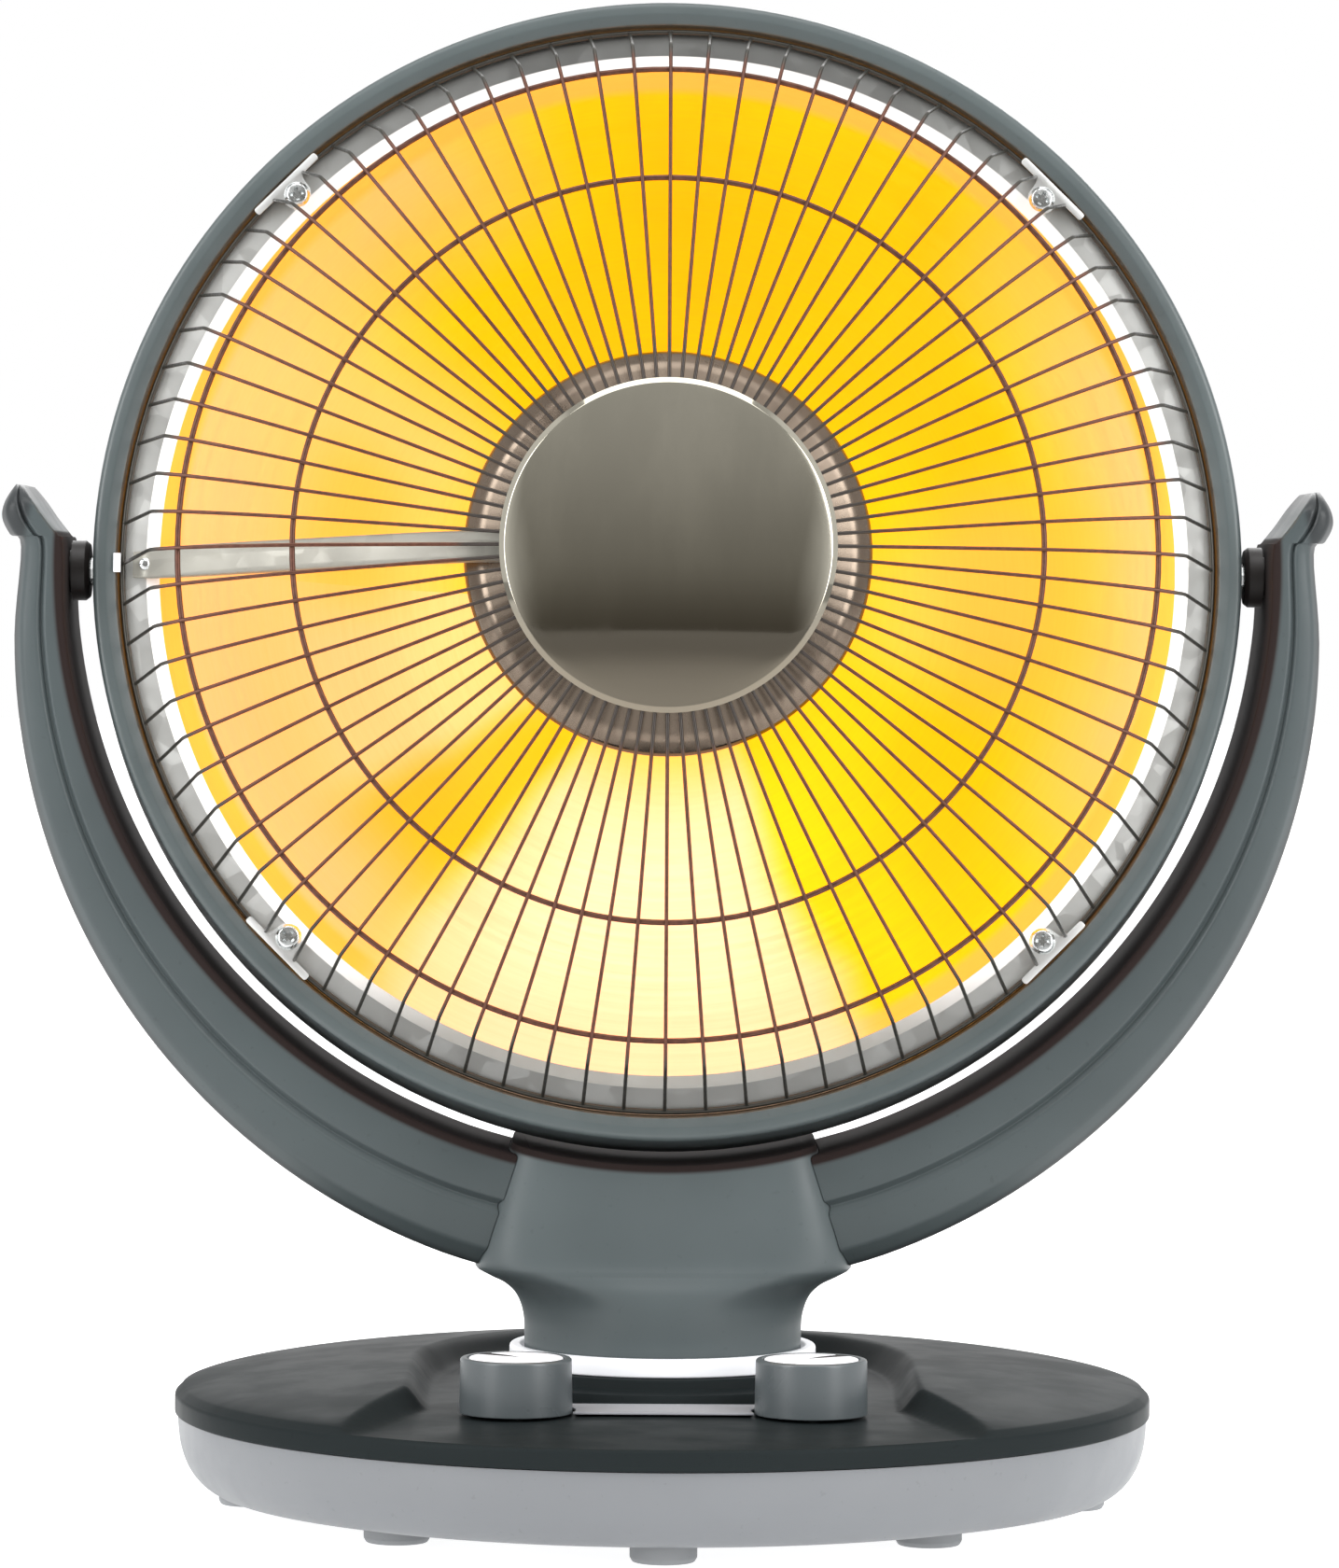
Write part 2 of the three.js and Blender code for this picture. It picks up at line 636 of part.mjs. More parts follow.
function spindleTube() {
  const { radius, wall, bottomZ, intoNeck } = spindle;
  return ring(radius - wall, radius, bottomZ, neckBottomZ + intoNeck, 16);
}

add('neck_housing', 'darkPlastic', neckHousing());
add('swivel_spindle', 'steel', spindleTube());
const nutTopZ = turretUndersideZ - fitGap;
add('spindle_nut', 'steel', ring(spindle.radius + fitGap, spindleNut.radius,
  nutTopZ - spindleNut.thickness, nutTopZ, 16));

// ---------------------------------------------------------------- yoke arms and pivots

// Section of an arm as [share of its thickness from the inner face, distance behind the middle].
function armSection() {
  const d = yoke.halfDepth;
  return [
    [0, d - 3], [0, -d + 3], [0.07, -d + 0.4], [0.4, -d], [0.47, -d + 2.2], [0.54, -d + 0.2],
    [0.84, -d + 1.2], [1, -d + 7], [1, d - 7], [0.84, d - 0.8], [0.07, d - 0.2],
  ];
}

const outerRadius = yoke.innerRadius + yoke.sideThickness;
const outerCentreZ = yoke.innerCentreZ - yoke.innerRadius - yoke.bottomThickness + outerRadius;
const armSteps = 11;
const armTopAngle = 92; // where the inner edge leaves its circle for the curled tip

// The two edges of the left arm, from its root in the neck up to the curled tip.
function armEdges() {
  const { innerRadius, innerCentreZ, rootAngle } = yoke;
  const edges = [];
  for (let i = 0; i <= armSteps; i += 1) {
    const inner = radians(THREE.MathUtils.lerp(rootAngle, armTopAngle, i / armSteps));
    const outer = radians(THREE.MathUtils.lerp(rootAngle, armTopAngle + 6, i / armSteps));
    edges.push([
      [-innerRadius * Math.sin(inner), innerCentreZ - innerRadius * Math.cos(inner)],
      [-outerRadius * Math.sin(outer), outerCentreZ - outerRadius * Math.cos(outer)],
    ]);
  }
  // The tip curls outwards: steps away from the top of each arc, sideways and upwards.
  const [topInner, topOuter] = edges[edges.length - 1];
  const curl = [
    [[1.8, 3.3], [3.4, 3.8]],
    [[5.7, 8.3], [5.8, 8.8]],
    [[9.5, 13.8], [5.1, 13.8]],
    [[12.7, 18.3], [2.3, 19.4]],
  ];
  for (const [inner, outer] of curl) {
    edges.push([
      [topInner[0] - inner[0], topInner[1] + inner[1]],
      [topOuter[0] - outer[0], topOuter[1] + outer[1]],
    ]);
  }
  return edges;
}

function leftArm() {
  const edges = armEdges();
  const loops = edges.map(([inner, outer], station) => {
    const beforeEnd = edges.length - 1 - station;
    const narrowing = [0.62, 0.86, 0.96][beforeEnd] ?? 1; // the tip is rounded in depth too
    return armSection().map(([share, behind]) => new THREE.Vector3(
      THREE.MathUtils.lerp(inner[0], outer[0], share),
      behind * narrowing,
      THREE.MathUtils.lerp(inner[1], outer[1], share),
    ));
  });
  const pivotSeat = pivotTools().map((tool) => tool.rotateY(Math.PI).translate(0, 0, head.pivotZ));
  return cut(loft(loops), neckForm(fitGap), ...pivotSeat);
}

// Radius of a bore whose flats clear a pin that turns in it.
const turningBore = (radius) => (radius + fitGap) / Math.cos(Math.PI / boreSteps);

// Hole in the right arm for the bush's spigot, and beyond it for the pin's end.
function pivotTools() {
  const bushEnd = yoke.innerRadius + bush.intoArm + fitGap;
  const pinEnd = yoke.innerRadius + pivotPin.intoArm + fitGap;
  return [
    sideTurned([[0, head.radius], [bush.spigotRadius + fitGap, head.radius],
      [bush.spigotRadius + fitGap, bushEnd], [0, bushEnd]]),
    sideTurned([[0, head.radius], [turningBore(pivotPin.radius), head.radius],
      [turningBore(pivotPin.radius), pinEnd], [0, pinEnd]]),
  ];
}

// Spacer between the head and the right arm, with the bore that the pin turns in.
function pivotBush() {
  const halfStep = radians((armTopAngle - yoke.rootAngle) / armSteps / 2);
  const armRadius = yoke.innerRadius * Math.cos(halfStep);
  const lowest = yoke.innerCentreZ - head.pivotZ + bush.radius;
  const faceX = Math.sqrt(armRadius ** 2 - lowest ** 2) - fitGap;
  const bore = turningBore(pivotPin.radius);
  const start = head.backRadius + fitGap;
  return sideTurned([
    [bore, start],
    [bush.radius - 1.2, start],
    [bush.radius, start + 1.4],
    [bush.radius, faceX],
    [bush.spigotRadius, faceX],
    [bush.spigotRadius, yoke.innerRadius + bush.intoArm],
    [bore, yoke.innerRadius + bush.intoArm],
    [bore, start],
  ]);
}

// Pin fixed in the head's side wall, its flange inside the wall.
function headPin() {
  const wallRadius = (head.radius - head.wall) * Math.cos(Math.PI / roundSteps);
  const wallX = Math.sqrt(wallRadius ** 2 - pivotPin.headRadius ** 2) - fitGap;
  const { radius, headRadius, headThickness, intoArm } = pivotPin;
  return sideTurned([
    [0, wallX - headThickness],
    [headRadius, wallX - headThickness],
    [headRadius, wallX],
    [radius, wallX],
    [radius, yoke.innerRadius + intoArm],
    [0, yoke.innerRadius + intoArm],
  ]);
}

const mirrored = (geometry) => tidy(geometry.clone().applyMatrix4(new THREE.Matrix4().makeScale(-1, 1, 1)));

const armLeft = leftArm();
add('yoke_arm_left', 'darkPlastic', armLeft);
add('yoke_arm_right', 'darkPlastic', mirrored(armLeft));
add('pivot_bush_right', 'blackPlastic', pivotBush()).position.z = head.pivotZ;
add('pivot_bush_left', 'blackPlastic', mirrored(pivotBush())).position.z = head.pivotZ;
add('pivot_pin_right', 'steel', headPin(), tiltFrame);
add('pivot_pin_left', 'steel', mirrored(headPin()), tiltFrame);

// ---------------------------------------------------------------- head: housing, dish and rim

function headHousing() {
  const { radius, backRadius, wall, sideDepth, depth, mouthRadius } = head;
  const { ledgeRadius, ledgeDepth, ledgeThickness } = head;
  const inner = radius - wall;
  const backInner = backRadius - wall;
  const backDepth = depth - sideDepth;
  // The back narrows from the side to a flat middle along a quarter of an ellipse.
  const back = (r, start, reach) => [0.45, 0.8, 1].map((share) =>
    [r * Math.sqrt(1 - (share * 0.93) ** 2), -start - reach * share]);
  const outside = back(backRadius, sideDepth, backDepth).reverse();
  const inside = back(backInner, sideDepth, backDepth - wall);
  const profile = [
    [0, -depth],
    ...outside,
    [backRadius, -sideDepth],
    [radius, -6],
    [radius - 0.9, -1.9],
    [radius - 4.2, 0],
    [mouthRadius + 0.8, -head.lipDrop],
    [mouthRadius, -ledgeDepth],
    [ledgeRadius, -ledgeDepth],
    [ledgeRadius, -ledgeDepth - ledgeThickness],
    [inner, -ledgeDepth - ledgeThickness],
    [backInner, -sideDepth],
    ...inside,
    [0, wall - depth],
  ];
  const slots = Array.from({ length: vent.count }, (_, i) => {
    const length = vent.outerRadius - vent.innerRadius;
    return new THREE.BoxGeometry(length, depth, vent.width)
      .translate(vent.innerRadius + length / 2, depth, 0)
      .rotateY(((i + 0.5) / vent.count) * 2 * Math.PI);
  });
  const pinHoles = [-1, 1].map((side) => sideTurned([
    [0, inner - wall], [pivotPin.radius + fitGap, inner - wall],
    [pivotPin.radius + fitGap, backRadius + wall], [0, backRadius + wall],
  ]).translate(0, head.rimAhead, 0).rotateY(side < 0 ? Math.PI : 0));
  return cut(headTurned(profile), ...slots, ...pinHoles);
}

const dishFlangeBack = -head.ledgeDepth + fitGap;
const dishFlangeFront = dishFlangeBack + dish.flangeThickness;
const bandBack = dishFlangeFront + fitGap;
const bandFront = bandBack + rimBand.thickness;

function reflectorDish() {
  const bowl = dish.depth + dishFlangeBack;
  const depthAt = (r) => -dish.depth + bowl * (r / dish.mouthRadius) ** 2;
  const shares = [0.25, 0.52, 0.78, 1];
  const front = shares.map((s) => [s * dish.mouthRadius, depthAt(s * dish.mouthRadius) + dish.sheet]);
  const behind = shares.map((s) => [s * dish.mouthRadius, depthAt(s * dish.mouthRadius)]).reverse();
  const edge = head.mouthRadius - fitGap;
  front[front.length - 1][1] = dishFlangeFront;
  return cut(headTurned([
    [0, -dish.depth + dish.sheet],
    ...front,
    [edge, dishFlangeFront],
    [edge, dishFlangeBack],
    ...behind,
    [0, -dish.depth],
  ]), ...screwTools(-head.ledgeDepth - 1));
}

// Galvanised ring over the dish's flange, with a rolled bead along its inner edge.
function galvanisedBand() {
  const inner = dish.mouthRadius - 1;
  const beadTop = bandFront + rimBand.beadRise;
  const edge = head.mouthRadius - fitGap;
  return cut(headTurned([
    [inner, bandBack],
    [edge, bandBack],
    [edge, bandFront],
    [inner + rimBand.beadWidth, bandFront],
    [inner + rimBand.beadWidth * 0.7, beadTop],
    [inner + rimBand.beadWidth * 0.2, beadTop],
    [inner, bandFront],
    [inner, bandBack],
  ]), ...screwTools(-head.ledgeDepth - 1));
}

// The four clip places stand between the hours, 45 degrees from the level.
const clipAngles = Array.from({ length: clipScrew.count }, (_, i) => (i + 0.5) * (360 / clipScrew.count));

function atClip(geometry, angle) {
  return geometry.rotateY(-radians(angle));
}

function screwTools(back) {
  return clipAngles.map((angle) => {
    const hole = headTurned([[0, back], [clipScrew.shankRadius + fitGap, back],
      [clipScrew.shankRadius + fitGap, 10], [0, 10]], 8).translate(clip.screwReach, 0, 0);
    return atClip(hole, angle);
  });
}

add('head_housing', 'darkPlastic', headHousing(), rimFrame);
add('reflector_dish', 'polishedDish', reflectorDish(), rimFrame);
add('rim_band', 'galvanised', galvanisedBand(), rimFrame);

// ---------------------------------------------------------------- wire guard and its clips

// The guard is one welded lattice. Each radial wire is a square bar that runs through the rim
// ring, a bend, two rings and the inner ring. Crossings are small blocks, and the ring wires
// are bars from block to block.
function wireGuard() {
  const stops = [
    { r: guard.rimRadius, ahead: -guard.rimBehind, crossing: true },
    { r: guard.bendRadius, ahead: guard.bendAhead, crossing: false },
    { r: guard.outerRingRadius, ahead: guard.outerRingAhead, crossing: true },
    { r: guard.middleRingRadius, ahead: guard.middleRingAhead, crossing: true },
    { r: guard.innerRingRadius, ahead: guard.innerRingAhead, crossing: true },
  ];
  const along = stops.map((_, k) => {
    const before = stops[Math.max(k - 1, 0)];
    const after = stops[Math.min(k + 1, stops.length - 1)];
    return new THREE.Vector2(after.r - before.r, after.ahead - before.ahead).normalize();
  });
  const halfWire = guard.wire / 2;
  const halfRing = guard.ringWire / 2;
  // Cross-sections along one wire: at a crossing one on each side of the ring wire.
  const sections = [];
  const blocks = [];
  stops.forEach((stop, k) => {
    const offsets = stop.crossing ? [-halfRing, halfRing] : [0];
    if (stop.crossing) blocks.push(sections.length);
    for (const offset of offsets) {
      const place = new THREE.Vector2(stop.r, stop.ahead).addScaledVector(along[k], offset);
      const out = new THREE.Vector2(along[k].y, -along[k].x);
      sections.push([1, 1, -1, -1].map((face, corner) => ({
        r: place.x + out.x * face * halfWire,
        ahead: place.y + out.y * face * halfWire,
        aside: (corner === 0 || corner === 3 ? -1 : 1) * halfWire,
      })));
    }
  });
  const points = [];
  const perWire = sections.length * 4;
  for (let wire = 0; wire < guard.wires; wire += 1) {
    const angle = (wire / guard.wires) * 2 * Math.PI;
    const [c, s] = [Math.cos(angle), Math.sin(angle)];
    for (const { r, ahead, aside } of sections.flat()) {
      points.push(new THREE.Vector3(r * c - aside * s, -ahead, r * s + aside * c));
    }
  }
  const faces = [];
  const quad = (a, b, c, d) => faces.push(a, b, c, a, c, d);
  for (let wire = 0; wire < guard.wires; wire += 1) {
    const at = (section, corner) => wire * perWire + section * 4 + corner;
    const nextAt = (section, corner) => ((wire + 1) % guard.wires) * perWire + section * 4 + corner;
    quad(at(0, 3), at(0, 2), at(0, 1), at(0, 0));
    const last = sections.length - 1;
    quad(at(last, 0), at(last, 1), at(last, 2), at(last, 3));
    for (let k = 0; k < last; k += 1) {
      const isBlock = blocks.includes(k);
      for (let corner = 0; corner < 4; corner += 1) {
        // A block leaves its two sides open for the ring wires.
        if (isBlock && corner % 2 === 1) continue;
        const other = (corner + 1) % 4;
        quad(at(k, corner), at(k, other), at(k + 1, other), at(k + 1, corner));
      }
    }
    for (const k of blocks) {
      const here = [at(k, 1), at(k, 2), at(k + 1, 2), at(k + 1, 1)];
      const there = [nextAt(k, 0), nextAt(k, 3), nextAt(k + 1, 3), nextAt(k + 1, 0)];
      for (let side = 0; side < 4; side += 1) {
        const other = (side + 1) % 4;
        quad(here[side], here[other], there[other], there[side]);
      }
    }
  }
  const geometry = new THREE.BufferGeometry().setFromPoints(points);
  geometry.setIndex(faces);
  return geometry;
}

add('front_guard', 'guardWire', wireGuard(), rimFrame);

const clipBack = Math.max(guard.ringWire / 2 - guard.rimBehind, -head.lipDrop) + fitGap;
const clipFront = clipBack + clip.sheet;

// A T-shaped strip: its bar lies over the guard's rim ring, its stem bends down to the band.
function guardClip() {
  const barOuter = head.mouthRadius;
  const barInner = guard.rimRadius + guard.wire / 2 + fitGap;
  const stemEnd = dish.mouthRadius - 1 + rimBand.beadWidth + fitGap;
  const halfBar = clip.barLength / 2;
  const halfStem = clip.stemWidth / 2;
  const shape = new THREE.Shape();
  shape.moveTo(barOuter, -halfBar);
  shape.lineTo(barOuter, halfBar);
  shape.lineTo(barInner, halfBar);
  shape.lineTo(barInner, halfStem);
  shape.lineTo(stemEnd, halfStem);
  shape.lineTo(stemEnd, -halfStem);
  shape.lineTo(barInner, -halfStem);
  shape.lineTo(barInner, -halfBar);
  const plate = extruded(shape, clip.sheet).rotateX(Math.PI / 2).translate(0, -clipBack, 0);
  const heel = new THREE.BoxGeometry(clip.sheet, clipFront - bandFront - fitGap, clip.stemWidth)
    .translate(stemEnd + clip.sheet / 2, -(clipFront + bandFront + fitGap) / 2, 0);
  const joined = fromSolid(toSolid(plate).add(toSolid(heel)));
  const holeRadius = clipScrew.shankRadius + fitGap;
  const hole = headTurned([[0, bandFront], [holeRadius, bandFront], [holeRadius, clipFront + 1],
    [0, clipFront + 1]], 8).translate(clip.screwReach, 0, 0);
  return cut(joined, hole);
}

function panScrew() {
  const low = clipFront + fitGap;
  const { headRadius, headHeight, shankRadius } = clipScrew;
  return headTurned([
    [0, -head.ledgeDepth + fitGap],
    [shankRadius, -head.ledgeDepth + fitGap],
    [shankRadius, low],
    [headRadius, low],
    [headRadius * 0.86, low + headHeight * 0.7],
    [headRadius * 0.4, low + headHeight],
    [0, low + headHeight],
  ], boreSteps).translate(clip.screwReach, 0, 0);
}

clipAngles.forEach((angle, i) => {
  add(`guard_clip_${i + 1}`, 'galvanised', atClip(guardClip(), angle), rimFrame);
  add(`clip_screw_${i + 1}`, 'steel', atClip(panScrew(), angle), rimFrame);
});

// ---------------------------------------------------------------- cap, hub, tube and heating element

const wireFrontAtCap = guard.innerRingAhead + guard.wire / 2;

// Domed chrome disc in front of the wires' inner ends.
function centreCap() {
  const edge = wireFrontAtCap + fitGap;
  const { radius, rise, sheet } = cap;
  const domeAt = (share, back) => edge + cap.edge * 0.6 - back + (rise - cap.edge * 0.6)
    * Math.sqrt(Math.max(0, 1 - (share / 1.02) ** 2));
  const shares = [0.5, 0.82, 0.96];
  return headTurned([
    [0, domeAt(0, sheet)],
    ...shares.map((s) => [s * (radius - sheet), domeAt(s, sheet)]),
    [radius - cap.edge, edge],
    [radius - 0.6, edge],
    [radius, edge + cap.edge * 0.5],
    ...shares.map((s) => [s * radius, domeAt(s, 0)]).reverse(),
    [0, domeAt(0, 0)],
  ], 24);
}

// Bowl that shields the heating element from the front, open to the dish.
function hubShield() {
  const { radius, rimAhead, frontRadius, frontAhead, sheet } = hub;
  const middle = [frontRadius + (radius - frontRadius) * 0.62, (rimAhead + frontAhead) / 2 + 1.2];
  return cut(headTurned([
    [0, frontAhead - sheet],
    [frontRadius - 1, frontAhead - sheet],
    [middle[0] - sheet, middle[1] - sheet],
    [radius - sheet, rimAhead],
    [radius, rimAhead],
    [middle[0], middle[1]],
    [frontRadius, frontAhead],
    [0, frontAhead],
  ], 24), hubOpening());
}

// Hole in the hub's front under the tube's inner end, for the element's leads.
function hubOpening() {
  const end = hub.frontAhead + hub.sheet;
  return headTurned([[0, 0], [3, 0], [3, end], [0, end]], 8).translate(-tube.innerReach - 5, 0, 0);
}

// Flattened tube from the rim at nine o'clock over the hub's front: it carries the hub.
const tubeTabEnd = guard.rimRadius - guard.wire / 2 - 2 * fitGap;

function supportTube() {
  const tabMiddle = bandFront + fitGap + tube.tabThickness / 2;
  const hubMiddle = hub.frontAhead + fitGap + tube.thickness / 2;
  const overBead = tabMiddle + rimBand.beadRise;
  const beadOuter = dish.mouthRadius - 1 + rimBand.beadWidth;
  const stations = [
    [tubeTabEnd, tabMiddle, 0.8, tube.tabThickness],
    [beadOuter + 1, tabMiddle, 0.86, tube.tabThickness],
    [beadOuter - 0.7, overBead, 0.9, tube.tabThickness],
    [beadOuter - 9, overBead + 3.4, 1, tube.thickness * 0.8],
    [hub.frontRadius + 8, hubMiddle, 0.96, tube.thickness],
    [tube.innerReach, hubMiddle, 0.94, tube.thickness],
  ];
  const loops = stations.map(([r, ahead, widthShare, thickness]) =>
    Array.from({ length: 10 }, (_, i) => {
      const angle = (i / 10) * 2 * Math.PI;
      const flat = Math.sign(Math.sin(angle)) * Math.abs(Math.sin(angle)) ** 0.6;
      return new THREE.Vector3(
        -r, -ahead - (flat * thickness) / 2, (Math.cos(angle) * tube.width * widthShare) / 2,
      );
    }));
  return loft(loops);
}

// Ceramic former behind the hub, tapering towards the dish.
const coreFront = hub.frontAhead - hub.sheet - fitGap;
const coreRadiusAt = (ahead) => THREE.MathUtils.lerp(
  element.coreRadius, element.coreTipRadius, (coreFront - ahead) / element.coreLength,
);

function ceramicCore() {
  const { coreRadius, coreTipRadius, coreLength } = element;
  return headTurned([
    [0, coreFront - coreLength],
    [coreTipRadius - 2, coreFront - coreLength],
    [coreTipRadius, coreFront - coreLength + 2],
    [coreRadius, coreFront - 5],
    [coreRadius + 9, coreFront - 5],
    [coreRadius + 9, coreFront],
    [0, coreFront],
  ], smallSteps);
}

// Heating wire wound round the former: one unbroken tube of 5 sides, 8 steps a turn.
function heatingCoil() {
  const { wire, turns, coreLength } = element;
  const start = coreFront - 5 - wire;
  const pitch = (coreLength - 5 - 2 * wire - 3) / turns;
  const steps = turns * 8;
  const centre = (i) => {
    const angle = (i / 8) * 2 * Math.PI;
    const ahead = start - (i / 8) * pitch;
    // The former is met by the flats between two corners, so the coil stands off a little more.
    const r = (coreRadiusAt(ahead) + fitGap + wire / 2) / Math.cos(Math.PI / 8);
    return new THREE.Vector3(r * Math.cos(angle), -ahead, r * Math.sin(angle));
  };
  const loops = [];
  for (let i = 0; i <= steps; i += 1) {
    const here = centre(i);
    const away = new THREE.Vector3(here.x, 0, here.z).normalize();
    const forward = centre(Math.min(i + 1, steps)).sub(centre(Math.max(i - 1, 0))).normalize();
    const side = new THREE.Vector3().crossVectors(forward, away).normalize();
    loops.push(Array.from({ length: 5 }, (_, k) => {
      const angle = (k / 5) * 2 * Math.PI;
      return here.clone()
        .addScaledVector(away, (Math.cos(angle) * wire) / 2)
        .addScaledVector(side, (Math.sin(angle) * wire) / 2);
    }));
  }
  let leastGap = Infinity;
  for (let i = 0; i <= steps; i += 1) {
    for (let j = i + 6; j <= steps; j += 1) {
      leastGap = Math.min(leastGap, centre(i).distanceTo(centre(j)) - wire);
    }
  }
  console.log(`heating coil: least gap to itself ${leastGap.toFixed(2)} mm`);
  return loft(loops);
}

function tubeRivet() {
  const low = bandFront + fitGap + tube.tabThickness + fitGap;
  const { rivetRadius } = tube;
  return headTurned([[0, low], [rivetRadius, low], [0.7 * rivetRadius, low + 1], [0, low + 1.3]], boreSteps)
    .translate(rivetRadius + fitGap - tubeTabEnd, 0, 0);
}

add('centre_cap', 'chrome', centreCap(), rimFrame);
add('hub_shield', 'darkSteel', hubShield(), rimFrame);
add('support_tube', 'galvanised', supportTube(), rimFrame);
add('tube_rivet', 'steel', tubeRivet(), rimFrame);
add('ceramic_core', 'ceramic', ceramicCore(), rimFrame);
add('heating_coil', 'heatingWire', heatingCoil(), rimFrame);

export default heater;
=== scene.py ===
"""Visual model of the parabolic dish heater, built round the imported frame.

Lengths in the shape code are millimetres, in the frame's own axes: +Z up, the front faces -Y.
The head's pieces are made in the head's own axes, where y runs back from its front edge.
"""
import json
import math

import bmesh
import bpy
from mathutils import Matrix, Vector

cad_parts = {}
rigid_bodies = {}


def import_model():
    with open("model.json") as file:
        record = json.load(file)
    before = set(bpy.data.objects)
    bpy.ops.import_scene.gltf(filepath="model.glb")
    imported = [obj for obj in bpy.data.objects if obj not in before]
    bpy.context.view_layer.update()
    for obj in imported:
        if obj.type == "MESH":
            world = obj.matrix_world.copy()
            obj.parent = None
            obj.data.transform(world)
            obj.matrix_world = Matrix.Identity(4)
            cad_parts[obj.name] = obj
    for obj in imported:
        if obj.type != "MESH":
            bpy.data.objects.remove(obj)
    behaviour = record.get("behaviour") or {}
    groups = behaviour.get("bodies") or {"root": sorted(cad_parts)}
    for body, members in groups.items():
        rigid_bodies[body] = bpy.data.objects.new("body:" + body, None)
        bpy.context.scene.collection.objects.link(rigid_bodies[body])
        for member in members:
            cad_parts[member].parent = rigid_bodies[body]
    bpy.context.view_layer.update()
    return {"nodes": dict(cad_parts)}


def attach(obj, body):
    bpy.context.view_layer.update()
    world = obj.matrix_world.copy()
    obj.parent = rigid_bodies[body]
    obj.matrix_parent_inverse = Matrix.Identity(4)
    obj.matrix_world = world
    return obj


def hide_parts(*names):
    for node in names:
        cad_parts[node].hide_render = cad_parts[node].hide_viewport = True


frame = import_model()

MM = 0.001

# ------------------------------------------------------------ the camera, as in the photograph

CAMERA_PLACE = (-0.011, -2.1214, 0.2884)
CAMERA_AIM = (0.0011, 0.0, 0.22564)
CAMERA_FIELD = 13.13  # degrees, top to bottom
CAMERA_ROLL = 0.35  # degrees

camera_data = bpy.data.cameras.new("camera")
camera = bpy.data.objects.new("camera", camera_data)
bpy.context.collection.objects.link(camera)
camera.location = CAMERA_PLACE
look = (Vector(CAMERA_AIM) - camera.location).to_track_quat("-Z", "Y").to_matrix()
camera.rotation_euler = (look @ Matrix.Rotation(math.radians(CAMERA_ROLL), 3, "Z")).to_euler()
camera_data.sensor_fit = "VERTICAL"
camera_data.angle = math.radians(CAMERA_FIELD)
bpy.context.scene.camera = camera

# ------------------------------------------------------------ places that the solids share

PIVOT_Z = 291
TILT = math.radians(8)
RIM_AHEAD = 18
DISH_RADIUS = 158.0
HEAD = (Matrix.Translation((0, 0, PIVOT_Z * MM)) @ Matrix.Rotation(-TILT, 4, "X")
        @ Matrix.Translation((0, -RIM_AHEAD * MM, 0)))

# ------------------------------------------------------------ shape helpers


def lerp(a, b, share):
    return a + (b - a) * share


def smooth(share):
    share = min(max(share, 0.0), 1.0)
    return share * share * (3 - 2 * share)


def rounded(points, steps=4, closed=False):
    """Outline with its corners rounded. A point is (u, v) or (u, v, radius)."""
    out = []
    count = len(points)
    for i, point in enumerate(points):
        radius = point[2] if len(point) > 2 else 0
        ends = i in (0, count - 1) and not closed
        if radius == 0 or ends:
            out.append(Vector(point[:2]))
            continue
        here = Vector(point[:2])
        back = Vector(points[i - 1][:2]) - here
        on = Vector(points[(i + 1) % count][:2]) - here
        half = back.angle(on) / 2
        reach = min(radius / math.tan(half), back.length * 0.49, on.length * 0.49)
        start, end = here + back.normalized() * reach, here + on.normalized() * reach
        for k in range(steps + 1):
            t = k / steps
            out.append(start * (1 - t) ** 2 + here * 2 * t * (1 - t) + end * t * t)
    return out


def turned(profile, steps=128, closed=False):
    """Form turned about Z from (radius, height) points, from or to the axis where the radius is 0."""
    verts, faces, rows = [], [], []
    for r, h in profile:
        if r < 1e-6:
            rows.append([len(verts)] * steps)
            verts.append((0, 0, h))
            continue
        row = []
        for i in range(steps):
            angle = 2 * math.pi * i / steps
            row.append(len(verts))
            verts.append((r * math.cos(angle), r * math.sin(angle), h))
        rows.append(row)
    pairs = list(zip(rows, rows[1:])) + ([(rows[-1], rows[0])] if closed else [])
    for low, high in pairs:
        for i in range(steps):
            j = (i + 1) % steps
            face = list(dict.fromkeys((low[i], low[j], high[j], high[i])))
            if len(face) > 2:
                faces.append(face)
    return verts, faces


def head_turned(profile, steps=128, closed=False):
    """Form turned about the head's axis from (radius, distance ahead of the front edge) points."""
    verts, faces = turned(profile, steps, closed)
    return [(x, -z, y) for x, y, z in verts], faces


def loft(loops, end_to_end=False):
    """Joins loops of equal point counts, end to end or with one face to close each end."""
    count = len(loops[0])
    verts = [tuple(p) for loop in loops for p in loop]
    faces = []
    joins = len(loops) if end_to_end else len(loops) - 1
    for k in range(joins):
        a, b = k * count, ((k + 1) % len(loops)) * count
        for i in range(count):
            j = (i + 1) % count
            faces.append((a + i, a + j, b + j, b + i))
    if not end_to_end:
        faces.append(tuple(reversed(range(count))))
        faces.append(tuple(range(len(verts) - count, len(verts))))
    return verts, faces


def tube(path, radius, sides=8):
    """Round wire along a path of points."""
    points = [Vector(p) for p in path]
    last = len(points) - 1
    loops = []
    normal = None
    for i, here in enumerate(points):
        along = (points[min(i + 1, last)] - points[max(i - 1, 0)]).normalized()
        if normal is None:
            normal = along.orthogonal().normalized()
        normal = (normal - along * normal.dot(along)).normalized()
        side = along.cross(normal)
        loops.append([
            here + (normal * math.cos(a) + side * math.sin(a)) * radius
            for a in (2 * math.pi * k / sides for k in range(sides))
        ])
    return loft(loops)


